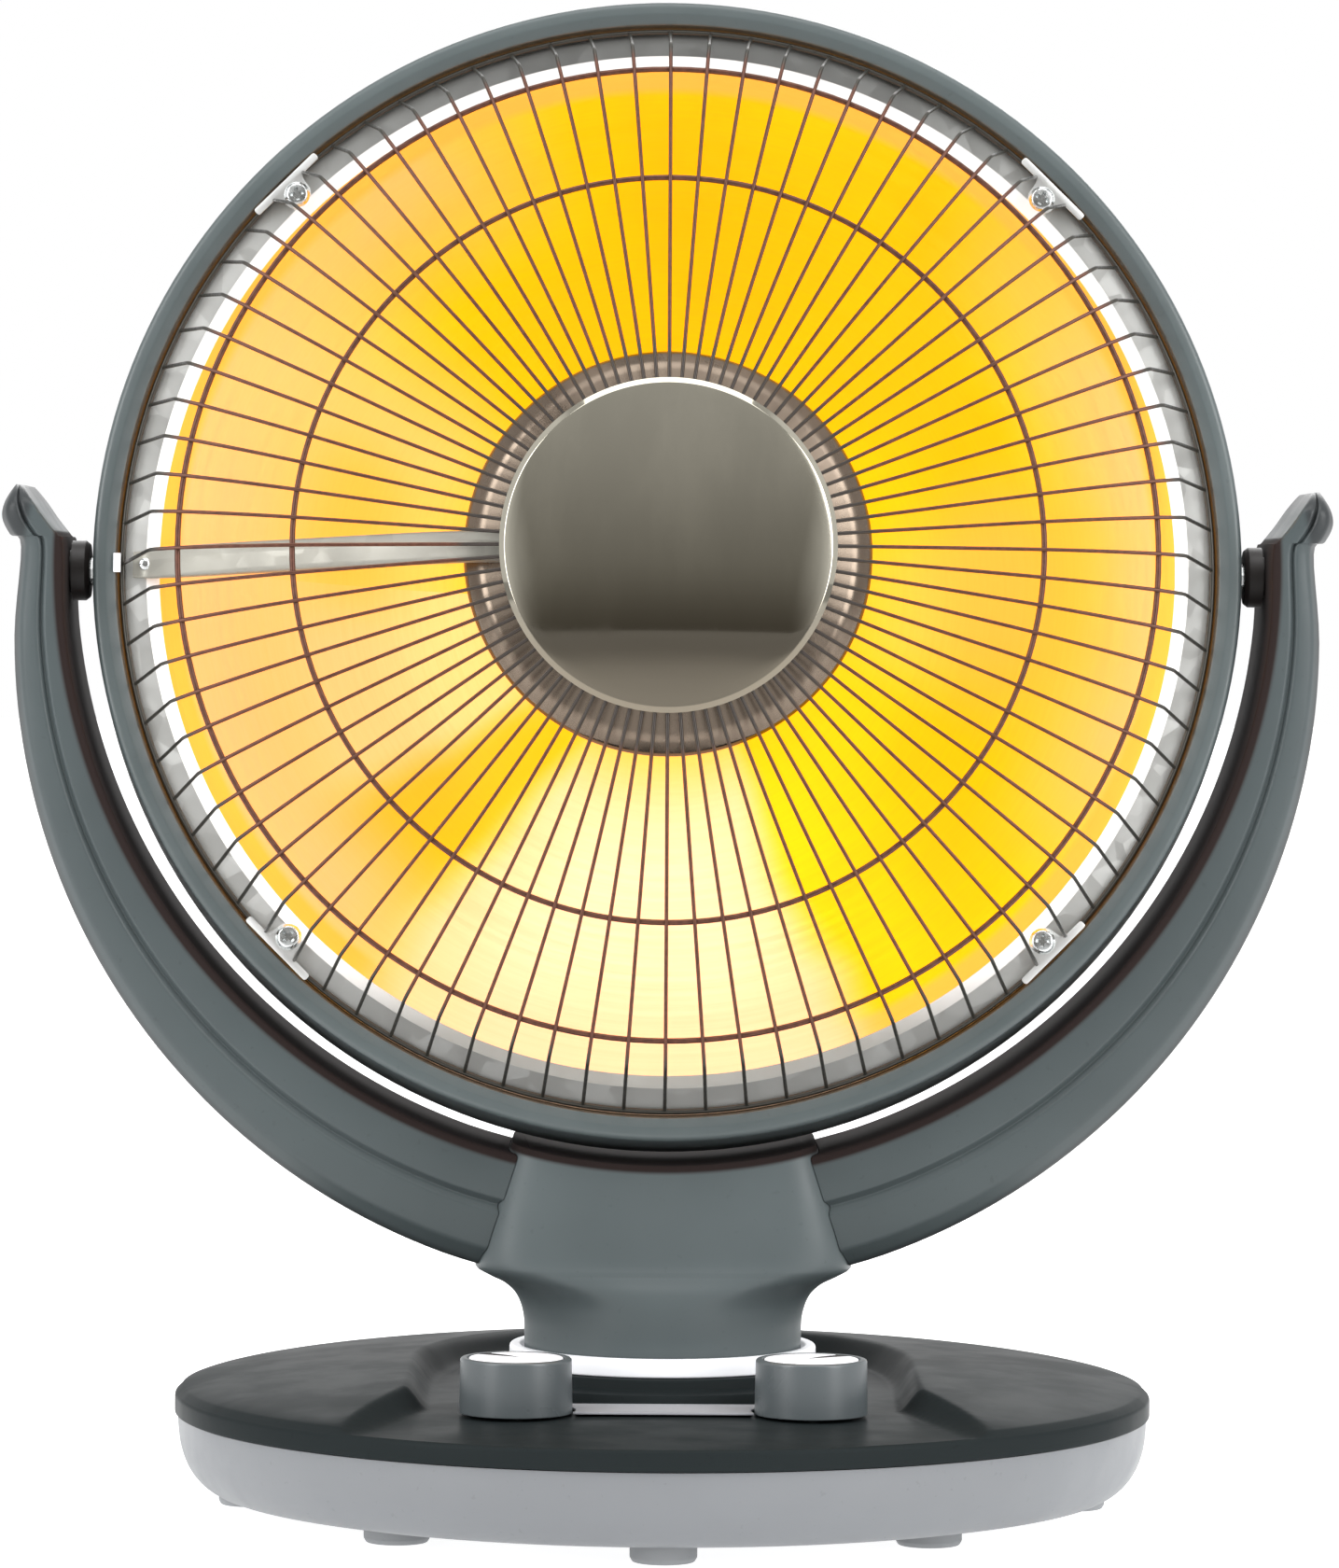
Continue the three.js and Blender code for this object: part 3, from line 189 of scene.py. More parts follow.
def ring_wire(radius, ahead, wire, steps=168, sides=8):
    """Round wire bent to a ring about the head's axis."""
    profile = [
        (radius + wire * math.cos(a), ahead + wire * math.sin(a))
        for a in (2 * math.pi * k / sides for k in range(sides))
    ]
    return head_turned(profile, steps, closed=True)


def merged(*parts):
    verts, faces = [], []
    for part_verts, part_faces in parts:
        start = len(verts)
        verts.extend(part_verts)
        faces.extend(tuple(i + start for i in face) for face in part_faces)
    return verts, faces


def moved(part, matrix):
    verts, faces = part
    return [tuple(matrix @ Vector(v)) for v in verts], faces


def placed(part, x, y, z=0):
    return moved(part, Matrix.Translation((x, y, z)))


def prism(outline, low, high):
    """Straight prism over an outline of (x, y) points."""
    return loft([[(x, y, z) for x, y in outline] for z in (low, high)])


def block(size, middle):
    x, y, z = (s / 2 for s in size)
    corners = [(-x, -y), (x, -y), (x, y), (-x, y)]
    return placed(prism(corners, -z, z), *middle)


def round_bar(radius, low, high, steps=32):
    return turned([(0, low), (radius, low), (radius, high), (0, high)], steps)


def mark_sharp(work, sharp):
    """Shades a mesh smooth but for open edges and those over the given angle in degrees."""
    limit = math.radians(sharp)
    for edge in work.edges:
        edge.smooth = len(edge.link_faces) == 2 and edge.calc_face_angle(0) < limit
    for face in work.faces:
        face.smooth = True


def to_object(name, part, sharp=32):
    """Makes the Blender object of a shape, in metres, smooth but for its sharp edges."""
    verts, faces = part
    mesh = bpy.data.meshes.new(name)
    mesh.from_pydata([Vector(v) * MM for v in verts], [], faces)
    work = bmesh.new()
    work.from_mesh(mesh)
    bmesh.ops.remove_doubles(work, verts=work.verts, dist=1e-6)
    bmesh.ops.recalc_face_normals(work, faces=work.faces)
    mark_sharp(work, sharp)
    work.to_mesh(mesh)
    work.free()
    obj = bpy.data.objects.new(name, mesh)
    bpy.context.collection.objects.link(obj)
    return obj


def applied(obj, sharp=32):
    """Applies the object's modifiers and marks its sharp edges again."""
    bpy.context.view_layer.update()
    result = bpy.data.meshes.new_from_object(obj.evaluated_get(bpy.context.evaluated_depsgraph_get()))
    obj.modifiers.clear()
    obj.data = result
    work = bmesh.new()
    work.from_mesh(result)
    bmesh.ops.remove_doubles(work, verts=work.verts, dist=1e-6)
    mark_sharp(work, sharp)
    work.to_mesh(result)
    work.free()
    return obj


def cut(obj, part, join=False, sharp=32):
    """Cuts a shape from an object, or joins it to the object."""
    tool = to_object("tool", part)
    change = obj.modifiers.new("cut", "BOOLEAN")
    change.operation = "UNION" if join else "DIFFERENCE"
    change.object = tool
    change.solver = "EXACT"
    change.use_self = False
    applied(obj, sharp)
    bpy.data.objects.remove(tool)
    return obj


def bevelled(obj, width, segments=2, angle=35, sharp=32):
    change = obj.modifiers.new("bevel", "BEVEL")
    change.width = width * MM
    change.segments = segments
    change.limit_method = "ANGLE"
    change.angle_limit = math.radians(angle)
    return applied(obj, sharp)


def piece(name, part, material, body, replaces=(), matrix=None, sharp=32):
    """Makes a piece from a shape or takes a finished object, and gives it its place in the model."""
    obj = part if isinstance(part, bpy.types.Object) else to_object(name, part, sharp)
    obj.name = name
    obj.data.materials.clear()
    obj.data.materials.append(material)
    if matrix is not None:
        obj.matrix_world = matrix
    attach(obj, body)
    if replaces:
        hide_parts(*replaces)
    return obj


# ------------------------------------------------------------ materials


class Nodes:
    """Short way to write a node tree. It starts with the surface shader and object coordinates."""

    def __init__(self, name):
        self.material = bpy.data.materials.new(name)
        self.material.use_nodes = True
        self.tree = self.material.node_tree
        self.shader = self.tree.nodes["Principled BSDF"]
        self.place = self.add("ShaderNodeTexCoord").outputs["Object"]

    def add(self, kind, **settings):
        node = self.tree.nodes.new(kind)
        for key, value in settings.items():
            setattr(node, key, value)
        return node

    def link(self, output, target):
        self.tree.links.new(output, target)

    def noise(self, scale, detail=3.0, roughness=0.55, stretch=None, place=None):
        source = place or self.place
        if stretch:
            mapping = self.add("ShaderNodeMapping")
            mapping.inputs["Scale"].default_value = stretch
            self.link(source, mapping.inputs["Vector"])
            source = mapping.outputs["Vector"]
        node = self.add("ShaderNodeTexNoise")
        node.inputs["Scale"].default_value = scale
        node.inputs["Detail"].default_value = detail
        node.inputs["Roughness"].default_value = roughness
        self.link(source, node.inputs["Vector"])
        return node.outputs["Fac"]

    def math(self, operation, a, b=0.0):
        node = self.add("ShaderNodeMath", operation=operation)
        for socket, value in zip(node.inputs, (a, b)):
            if isinstance(value, (int, float)):
                socket.default_value = value
            else:
                self.link(value, socket)
        return node.outputs[0]

    def span(self, value, low, high, to_low=0.0, to_high=1.0, shape="SMOOTHSTEP"):
        node = self.add("ShaderNodeMapRange", interpolation_type=shape)
        self.link(value, node.inputs["Value"])
        ends = (("From Min", low), ("From Max", high), ("To Min", to_low), ("To Max", to_high))
        for socket, number in ends:
            node.inputs[socket].default_value = number
        return node.outputs["Result"]

    def mix(self, share, a, b):
        node = self.add("ShaderNodeMix", data_type="RGBA")
        for socket, value in ((node.inputs["Factor"], share), (node.inputs["A"], a), (node.inputs["B"], b)):
            if isinstance(value, (tuple, float, int)):
                socket.default_value = (*value, 1) if isinstance(value, tuple) else value
            else:
                self.link(value, socket)
        return node.outputs["Result"]

    def position(self):
        """Outputs X, Y and Z of the place."""
        split = self.add("ShaderNodeSeparateXYZ")
        self.link(self.place, split.inputs[0])
        return split.outputs

    def distance(self, height=0.0):
        """Distance from the level axis that runs front to back at the given height."""
        position = self.position()
        across, up = position["X"], self.math("SUBTRACT", position["Z"], height)
        squares = [self.math("MULTIPLY", value, value) for value in (across, up)]
        return self.math("SQRT", self.math("ADD", *squares))

    def bump(self, height, strength, distance):
        node = self.add("ShaderNodeBump")
        node.inputs["Strength"].default_value = strength
        node.inputs["Distance"].default_value = distance * MM
        self.link(height, node.inputs["Height"])
        self.link(node.outputs["Normal"], self.shader.inputs["Normal"])

    def set(self, **values):
        for key, value in values.items():
            socket = self.shader.inputs[key.replace("_", " ")]
            if hasattr(value, "node"):
                self.link(value, socket)
            else:
                socket.default_value = value


def shade(colour, factor):
    return tuple(min(1.0, c * factor) for c in colour)


def plastic(name, colour, roughness, grain=0.05, grain_scale=2600, specular=0.5, variation=0.1, zones=(),
            zone_depth=None, zone_roughness=None, glow=0.0):
    """Moulded plastic: slow shade changes, fine mould grain and uneven gloss.

    A zone (height of a level axis, radius of no effect, radius of full effect, colour) paints shade on the
    part: its colour darkens a strip or edge where the light falls off. Behind the zone depth it has no
    effect, and the first zone may be duller than the rest. Glow is painted light: the trim gives off a
    little light of its own colour so that it does not come out too dark.
    """
    nodes = Nodes(name)
    cloud = nodes.noise(9, 4)
    base = nodes.mix(nodes.span(cloud, 0.3, 0.7), shade(colour, 1 - variation), shade(colour, 1 + variation))
    specks = nodes.span(nodes.noise(420, 2), 0.66, 0.74, 0, 0.35)
    base = nodes.mix(specks, base, shade(colour, 0.7))
    shares = []
    # Each zone is painted shade: its dark colour is mixed in by distance from a level axis.
    for axis_height, start, full, painted_shade in zones:
        share = nodes.span(nodes.distance(axis_height), start, full)
        if zone_depth:
            ahead = nodes.span(nodes.position()["Y"], zone_depth, zone_depth * 0.7)
            share = nodes.math("MULTIPLY", share, ahead)
        base = nodes.mix(share, base, painted_shade)
        shares.append(share)
    # Glow is painted light: an emission in the plastic's own colour.
    nodes.set(Base_Color=base, Emission_Color=(*colour, 1), Emission_Strength=glow)
    gloss = nodes.span(nodes.noise(38, 4), 0.3, 0.7, roughness * 0.88, roughness * 1.14)
    if zone_roughness:
        gloss = nodes.math("MAXIMUM", gloss, nodes.math("MULTIPLY", shares[0], zone_roughness))
    nodes.set(Roughness=gloss, Specular_IOR_Level=specular)
    nodes.bump(nodes.noise(grain_scale, 2), grain, 0.15)
    return nodes.material


def metal(name, colour, roughness, stretch=None, streak=260, depth=0.08, variation=0.12):
    """Bare metal: streaks or mottling along the given stretch, and uneven polish."""
    nodes = Nodes(name)
    lines = nodes.noise(streak, 4, 0.6, stretch)
    cloud = nodes.noise(24, 3)
    base = nodes.mix(nodes.span(lines, 0.3, 0.7), shade(colour, 1 - variation), shade(colour, 1 + variation))
    nodes.set(Base_Color=nodes.mix(nodes.span(cloud, 0.35, 0.7, 0, 0.4), base, shade(colour, 0.8)))
    nodes.set(Metallic=1.0, Roughness=nodes.span(lines, 0.25, 0.75, roughness * 0.75, roughness * 1.3))
    nodes.bump(lines, depth, 0.1)
    return nodes.material


def dish_glow():
    """Polished aluminium with painted light: golden glow, paler peach painted reflections, brushed rings."""
    nodes = Nodes("dish_aluminium_glow")
    position = nodes.position()
    across, up = position["X"], position["Z"]
    away = nodes.distance()
    turn = nodes.math("ARCTAN2", up, across)
    ripple = nodes.math("MULTIPLY", nodes.math("SUBTRACT", nodes.noise(7, 3), 0.5), 0.4)
    bent = nodes.math("ADD", turn, ripple)
    dish = DISH_RADIUS * MM

    def sector(middle, half, soft, near, far, weight):
        """Share of a painted light field round the angle middle (degrees), from near to far (share of the
        radius).
        """
        off = nodes.math("ABSOLUTE", nodes.math("SUBTRACT", bent, math.radians(middle)))
        wrapped = nodes.math("MINIMUM", off, nodes.math("SUBTRACT", 2 * math.pi, off))
        side = nodes.span(wrapped, math.radians(half - soft), math.radians(half + soft), 1, 0)
        reach = nodes.span(away, (near - 0.12) * dish, (near + 0.12) * dish, 0, weight)
        end = nodes.span(away, (far - 0.1) * dish, (far + 0.1) * dish, 1, 0)
        return nodes.math("MULTIPLY", nodes.math("MULTIPLY", side, reach), end)

    cloudy = nodes.span(nodes.noise(16, 4), 0.3, 0.7)
    gold = nodes.mix(cloudy, (0.95, 0.50, 0.002), (1.0, 0.57, 0.0))
    # Painted reflections: paler and deeper gold fields where the element's light would be mirrored in the
    # dish.
    colour = nodes.mix(sector(184, 46, 14, 0.44, 1.4, 0.85), gold, (0.94, 0.575, 0.19))
    colour = nodes.mix(sector(204, 17, 8, 0.3, 0.78, 0.75), colour, (0.95, 0.60, 0.30))
    colour = nodes.mix(sector(172, 16, 8, 0.52, 0.74, 0.6), colour, (0.96, 0.50, 0.03))
    colour = nodes.mix(sector(-133, 10, 5, 0.3, 0.86, 0.9), colour, (0.92, 0.43, 0.004))
    patchy = nodes.span(nodes.noise(9, 3), 0.3, 0.65, 0.45, 1.0)
    sides = nodes.math("MAXIMUM", sector(178, 62, 16, 0.8, 1.4, 1.0), sector(6, 34, 16, 0.84, 1.4, 0.9))
    colour = nodes.mix(nodes.math("MULTIPLY", sides, patchy), colour, (0.88, 0.47, 0.22))
    colour = nodes.mix(nodes.span(away, 0.150, 0.153), colour, (0.95, 0.45, 0.07))
    colour = nodes.mix(sector(-94, 27, 5, 0.36, 1.5, 1.0), colour, (0.95, 0.60, 0.36))
    colour = nodes.mix(sector(-92, 19, 9, 0.5, 1.1, 0.85), colour, (0.95, 0.68, 0.51))
    colour = nodes.mix(sector(-4, 16, 12, 0.42, 0.8, 0.6), colour, (0.93, 0.50, 0.12))
    rings = nodes.add("ShaderNodeCombineXYZ")
    nodes.link(nodes.math("MULTIPLY", turn, 0.12), rings.inputs[0])
    nodes.link(nodes.math("MULTIPLY", away, 40), rings.inputs[1])
    brushed = nodes.noise(14, 5, 0.6, None, rings.outputs[0])
    colour = nodes.mix(nodes.span(brushed, 0.3, 0.75, 0, 0.12), colour, (0.80, 0.36, 0.01))
    # The glow is painted light: the dish gives off its golden colour as emission.
    nodes.set(Base_Color=nodes.mix(0.35, colour, (0.75, 0.31, 0.03)), Emission_Color=colour)
    nodes.set(Emission_Strength=0.64, Metallic=1.0, Roughness=nodes.span(brushed, 0.3, 0.7, 0.34, 0.46))
    nodes.bump(brushed, 0.06, 0.1)
    return nodes.material


def galvanised(name, colour, roughness, metallic=1.0, level_share=1.0, bead_start=None):
    """Galvanised sheet: faint crystal fields with their own shade and gloss.

    Away from the level of the axis a painted shade turns the colour to the given share at the top and
    to half as much again, at most 1, at the bottom. Inside the radius where a bead starts a painted
    highlight makes the sheet near white, with painted shade low down.
    """
    nodes = Nodes(name)
    cells = nodes.add("ShaderNodeTexVoronoi")
    cells.inputs["Scale"].default_value = 130
    nodes.link(nodes.place, cells.inputs["Vector"])
    grey = nodes.add("ShaderNodeSeparateColor")
    nodes.link(cells.outputs["Color"], grey.inputs[0])
    field = grey.outputs[0]
    cloud = nodes.noise(30, 4)
    base = nodes.mix(nodes.span(field, 0, 1, 0.1, 0.9, "LINEAR"), shade(colour, 0.9), shade(colour, 1.1))
    base = nodes.mix(nodes.span(cloud, 0.4, 0.7, 0, 0.4), base, shade(colour, 0.84))
    # Painted shade: the sheet's colour darkens towards its top and bottom.
    up = nodes.position()["Z"]
    steep = nodes.span(nodes.math("ABSOLUTE", up), 0.09, 0.16)
    top = nodes.span(up, 0.0, 0.1)
    steep_shade = nodes.mix(top, shade(colour, min(1, level_share * 1.5)), shade(colour, level_share))
    base = nodes.mix(steep, base, steep_shade)
    rough = nodes.span(field, 0, 1, roughness * 0.85, roughness * 1.2, "LINEAR")
    # Painted highlight on the bead: near white and less metallic, darker low down as painted shade.
    if bead_start:
        bead = nodes.span(nodes.distance(), bead_start + 0.0002, bead_start - 0.0002)
        low = nodes.span(up, -0.11, -0.15)
        base = nodes.mix(bead, base, nodes.mix(low, (0.98, 0.98, 0.97), (0.30, 0.30, 0.28)))
        metallic = nodes.span(bead, 0, 1, metallic, 0.25)
    nodes.set(Base_Color=base, Metallic=metallic, Roughness=rough)
    nodes.bump(nodes.noise(700, 3), 0.04, 0.1)
    return nodes.material


def chrome(name, colour, roughness, low_shade_colour=None):
    """Mirror chrome with faint smears, and with painted shade low down."""
    nodes = Nodes(name)
    smear = nodes.noise(34, 5, 0.6, (1, 1, 0.35))
    base = nodes.mix(nodes.span(smear, 0.35, 0.7), shade(colour, 0.93), shade(colour, 1.05))
    # Painted shade: low down the chrome turns to the darker colour.
    if low_shade_colour:
        base = nodes.mix(nodes.span(nodes.position()["Z"], -0.004, -0.034), base, low_shade_colour)
    gloss = nodes.span(smear, 0.4, 0.75, roughness, roughness * 2.2)
    nodes.set(Base_Color=base, Metallic=1.0, Roughness=gloss)
    return nodes.material


def guard_wire():
    """Brown wire, greyer where it runs over the bright band and over the hub."""
    nodes = Nodes("guard_wire_brown")
    away = nodes.distance()
    mottle = nodes.span(nodes.noise(500, 4), 0.3, 0.7)
    brown = nodes.mix(mottle, (0.085, 0.034, 0.022), (0.125, 0.05, 0.032))
    outer = nodes.mix(nodes.span(away, 0.152, 0.157), brown, (0.05, 0.047, 0.04))
    nodes.set(Base_Color=nodes.mix(nodes.span(away, 0.066, 0.061), outer, (0.05, 0.042, 0.037)))
    nodes.set(Metallic=0.55, Roughness=nodes.span(mottle, 0, 1, 0.3, 0.42))
    nodes.bump(mottle, 0.05, 0.1)
    return nodes.material


def heat_wire():
    """Glowing wire, from red to amber in patches."""
    nodes = Nodes("heating_wire_glow")
    spread = nodes.span(nodes.noise(160, 3), 0.3, 0.7)
    nodes.set(Base_Color=nodes.mix(spread, (0.5, 0.12, 0.03), (0.35, 0.08, 0.03)), Roughness=0.6)
    nodes.set(Emission_Color=nodes.mix(spread, (1.0, 0.26, 0.04), (1.0, 0.42, 0.1)), Emission_Strength=4.0)
    return nodes.material


def ceramic():
    """Matt ceramic, faintly mottled, with a fine grain."""
    nodes = Nodes("ceramic_former")
    cloud = nodes.span(nodes.noise(60, 4), 0.3, 0.7)
    nodes.set(Base_Color=nodes.mix(cloud, (0.72, 0.62, 0.5), (0.85, 0.77, 0.66)), Roughness=0.75)
    nodes.bump(nodes.noise(900, 3), 0.15, 0.2)
    return nodes.material


# Painted shade: the dark brown of the yoke's shaded inner wall, which also reaches a little onto the front
# faces of the arms and the neck.
INNER_WALL_SHADE = (0.018, 0.011, 0.010)
NECK = plastic("neck_grey_plastic", (0.086, 0.104, 0.108), 0.42, grain=0.04, specular=0.3,
               zone_roughness=1.0, zones=[(0.29225, 0.1862, 0.1846, INNER_WALL_SHADE)])
# The arms' second zone is painted shade too: a darker band along their outer edge.
ARM = plastic("arm_grey_plastic", (0.060, 0.074, 0.077), 0.40, grain=0.04, specular=0.3,
              zone_roughness=1.0, zones=[
                  (0.29225, 0.1896, 0.1880, INNER_WALL_SHADE), (0.2702, 0.1985, 0.2012, (0.03, 0.034, 0.036))])
# Painted shade on the head's front: a darker outer edge and a brown line at the inner edge of the mouth.
HEAD_DARK = plastic("head_grey_plastic", (0.078, 0.096, 0.098), 0.36, grain=0.03, zone_depth=0.02, zones=[
    (0, 0.1766, 0.1782, (0.062, 0.074, 0.077)), (0, 0.1710, 0.1700, (0.075, 0.062, 0.045))])
COVER = plastic("gloss_cover_plastic", (0.016, 0.020, 0.021), 0.38, grain=0.01, specular=0.02, variation=0.04)
SHELL = plastic("light_grey_plastic", (0.165, 0.174, 0.186), 0.42, grain=0.04, variation=0.04)
# Painted light: the pale trim glows a little.
PALE = plastic("pale_trim_plastic", (0.93, 0.94, 0.97), 0.32, grain=0.02, variation=0.03, glow=0.2)
LEGEND = plastic("legend_plate_plastic", (0.34, 0.35, 0.375), 0.4, grain=0.02, variation=0.03)
KNOB = plastic("knob_grey_plastic", (0.088, 0.102, 0.108), 0.3, grain=0.03)
BLACK = plastic("black_plastic", (0.020, 0.016, 0.015), 0.5, grain=0.06)
RUBBER = plastic("grey_rubber", (0.26, 0.27, 0.28), 0.72, grain=0.12, grain_scale=1500, variation=0.06)
DISH = dish_glow()
# The band has painted shade at its top and bottom and a painted highlight on its bead.
BAND = galvanised("galvanised_band", (0.80, 0.81, 0.79), 0.36, 0.85, 0.34, bead_start=0.1612)
TUBE = galvanised("galvanised_tube", (0.36, 0.35, 0.31), 0.5, 0.7)
CLIP = galvanised("zinc_clip", (0.80, 0.81, 0.80), 0.36, 0.8)
# The cap's darker lower part is painted shade.
CHROME = chrome("cap_chrome", (0.47, 0.445, 0.37), 0.05, (0.21, 0.185, 0.145))
HUB = chrome("hub_dark_chrome", (0.20, 0.16, 0.125), 0.2)
WIRE_BROWN = guard_wire()
STEEL = metal("zinc_steel", (0.66, 0.68, 0.68), 0.24, (1, 1, 1), 380, 0.05)
IRON = metal("cast_ballast", (0.06, 0.06, 0.06), 0.7, None, 500, 0.4)
CERAMIC = ceramic()
HEAT = heat_wire()

# ------------------------------------------------------------ base

BASE_RADIUS = 151.9
FOOT_HEIGHT = 6
SEAM_Z = 30.2
RIM_Z = 36.2
TURRET_Z = 45.2
KNOB_ASIDE, KNOB_AHEAD = 44.5, 75.5


def floor_height(reach):
    """Height of the valley's floor at a distance from the middle."""
    return RIM_Z + 0.02 * (BASE_RADIUS - reach)


def cover_height(x, y):
    """Height of the cover's top: a crown with a valley in it that is open to the front."""
    reach = min(math.hypot(x, y), BASE_RADIUS)
    crown = RIM_Z + 11 * math.sqrt(1 - (reach / BASE_RADIUS) ** 2)
    half_width = 79 + max(0, -y - 62) * 0.33
    outward = math.hypot(x / half_width, max(0, y) / 125)
    bank = smooth(1 + (outward - 1) * half_width / 8)
    return lerp(min(floor_height(reach), crown), crown, bank)


def cover_shape(steps=400):
    def circle(radius, height):
        return [
            (radius * math.cos(a), radius * math.sin(a),
             height(radius * math.cos(a), radius * math.sin(a)) if callable(height) else height)
            for a in (2 * math.pi * i / steps for i in range(steps))
        ]

    turret = rounded([(13, TURRET_Z - 2.4), (13, TURRET_Z), (50, TURRET_Z, 1.2), (51.2, 41.9, 0.9),
                      (57, 41.1, 1), (58.5, floor_height(58.5) + 0.1)], 3)
    loops = [circle(r, z) for r, z in turret]
    inner, outer = 58.7, BASE_RADIUS - 2.2
    rows = 80
    loops += [circle(lerp(inner, outer, i / rows), cover_height) for i in range(1, rows + 1)]
    skirt = rounded([(outer, RIM_Z + 0.9), (BASE_RADIUS, RIM_Z, 1.8), (BASE_RADIUS, SEAM_Z, 0.5),
                     (BASE_RADIUS - 2.4, SEAM_Z), (BASE_RADIUS - 2.6, 33.6), (100, 34.6), (56.6, 35.6),
                     (48, 42.8)], 4)[1:]
    loops += [circle(r, z) for r, z in skirt]
    return loft(loops, end_to_end=True)


def shell_shape():
    side = []
    rows = 24
    for i in range(rows + 1):
        rise = i / rows
        spread = math.sqrt(max(0.0, 1 - (1 - rise) ** 2.4))
        side.append((136 + 14.9 * spread, FOOT_HEIGHT + (SEAM_Z - 0.3 - FOOT_HEIGHT) * rise))
    side[0] = (135.4, FOOT_HEIGHT)
    top = SEAM_Z - 0.3
    inside = [(148.8, top), (148.8, top + 1.6), (147, top + 1.6), (147, top - 2), (143.6, 16), (135, 8.4)]
    return turned([(0, FOOT_HEIGHT)] + side + inside + [(0, 8.4)], 192)


shell = to_object("shell", shell_shape(), 40)
cut(shell, placed(round_bar(4.3, 0, 20), -62, 24), sharp=40)
to_back = Matrix.Translation((0, 0, 18)) @ Matrix.Rotation(-math.pi / 2, 4, "X")
cut(shell, moved(round_bar(5.3, 60, 170), to_back), sharp=40)
for i in range(24):  # cooling slots in the underside
    angle = 2 * math.pi * (i + 0.5) / 24
    slot = block((16, 2.4, 12), (46, 0, 6))
    cut(shell, moved(slot, Matrix.Rotation(angle, 4, "Z")), sharp=40)
piece("lower_shell", shell, SHELL, "base", ["base_lower_shell"])
cover = to_object("cover", cover_shape(), 42)
for side in (-1, 1):
    cut(cover, placed(round_bar(3.3, 30, 44), side * KNOB_ASIDE, -KNOB_AHEAD), sharp=42)
piece("top_cover", cover, COVER, "base", ["base_top_cover"])

collar_low = TURRET_Z + 0.3
collar = rounded([(13, collar_low), (47.8, collar_low, 0.6), (47.8, collar_low + 5.6, 1.2),
                  (44.4, collar_low + 5.6, 0.7), (44.4, collar_low + 2),
                   (13, collar_low + 2)], 5, closed=True)
piece("collar_ring", turned(collar, 160, closed=True), PALE, "base", ["neck_collar_ring"])

FOOT_PLACES = [(0, -121), (0, 121), (-128.4, 0), (128.4, 0)] + [
    (side_x * 115 * math.sin(math.radians(44)), side_y * 115 * math.cos(math.radians(44)))
    for side_x in (-1, 1) for side_y in (-1, 1)
]
for i, (x, y) in enumerate(FOOT_PLACES):
    pad = rounded([(0, 0), (9.2, 0, 0.8), (10, 1.4, 0.8), (10, 5.7, 0.3), (0, 5.7)], 3)
    dimple = rounded([(0, 1.2), (3.4, 1.2), (3.4, 0, 0.2), (9.2, 0, 0.8), (10, 1.4, 0.8), (10, 5.7),
                      (0, 5.7)], 3)
    shape = turned(dimple if i else pad, 48)
    piece(f"rubber_foot_{i + 1}", placed(shape, x, y), RUBBER, "base", [f"foot_{i + 1}"])


def cross_screw(name, radius, height, material, body, place):
    """Pan head screw with a cross recess, its head standing on z = 0 of the given place."""
    head = rounded([(0, 0), (radius, 0, 0.2), (radius, height * 0.3, 0.5), (radius * 0.78, height * 0.82, 1),
                    (0, height)], 4)
    screw = to_object(name, turned(head, 40))
    arm = radius * 0.62
    for turn in (0, math.pi / 2):
        wedge = loft([
            [(-arm * 0.55, -0.42, height * 0.25), (arm * 0.55, -0.42, height * 0.25),
             (arm * 0.55, 0.42, height * 0.25), (-arm * 0.55, 0.42, height * 0.25)],
            [(-arm, -0.62, height + 0.3), (arm, -0.62, height + 0.3),
             (arm, 0.62, height + 0.3), (-arm, 0.62, height + 0.3)],
        ])
        cut(screw, moved(wedge, Matrix.Rotation(turn, 4, "Z")))
    return piece(name, screw, material, body, matrix=place)


for i, (x, y) in enumerate([(0, 98), (0, -98), (98, 0), (-98, 0)]):
    down = Matrix.Translation((x * MM, y * MM, FOOT_HEIGHT * MM)) @ Matrix.Rotation(math.pi, 4, "X")
    cross_screw(f"base_screw_{i + 1}", 3.4, 1.8, STEEL, "base", down)

seat = BASE_RADIUS - 2.2
gland = rounded([(3.6, seat - 5.4), (5, seat - 5.4), (5, seat), (8, seat, 0.2), (8, seat + 0.9, 0.8),
                 (5.4, seat + 1.9, 0.6), (3.6, seat + 1.6)], 4, closed=True)
piece("cord_gland", moved(turned(gland, 64, closed=True), to_back), BLACK, "base",
      ["cord_inlet_grommet"])

# Legend plate between the knobs, hollowed round both of them.
plate_low = floor_height(60) + 0.3
plate_outline = [(-40, -81), (40, -81), (40, -60), (-40, -60)]
plate = to_object("plate", prism(plate_outline, plate_low, plate_low + 0.8))
for side in (-1, 1):
    cut(plate, placed(round_bar(18.1, 30, 44, 64), side * KNOB_ASIDE, -KNOB_AHEAD))
bevelled(plate, 0.25)
piece("legend_plate", plate, LEGEND, "base", ["front_legend_plate"])

# ------------------------------------------------------------ knobs

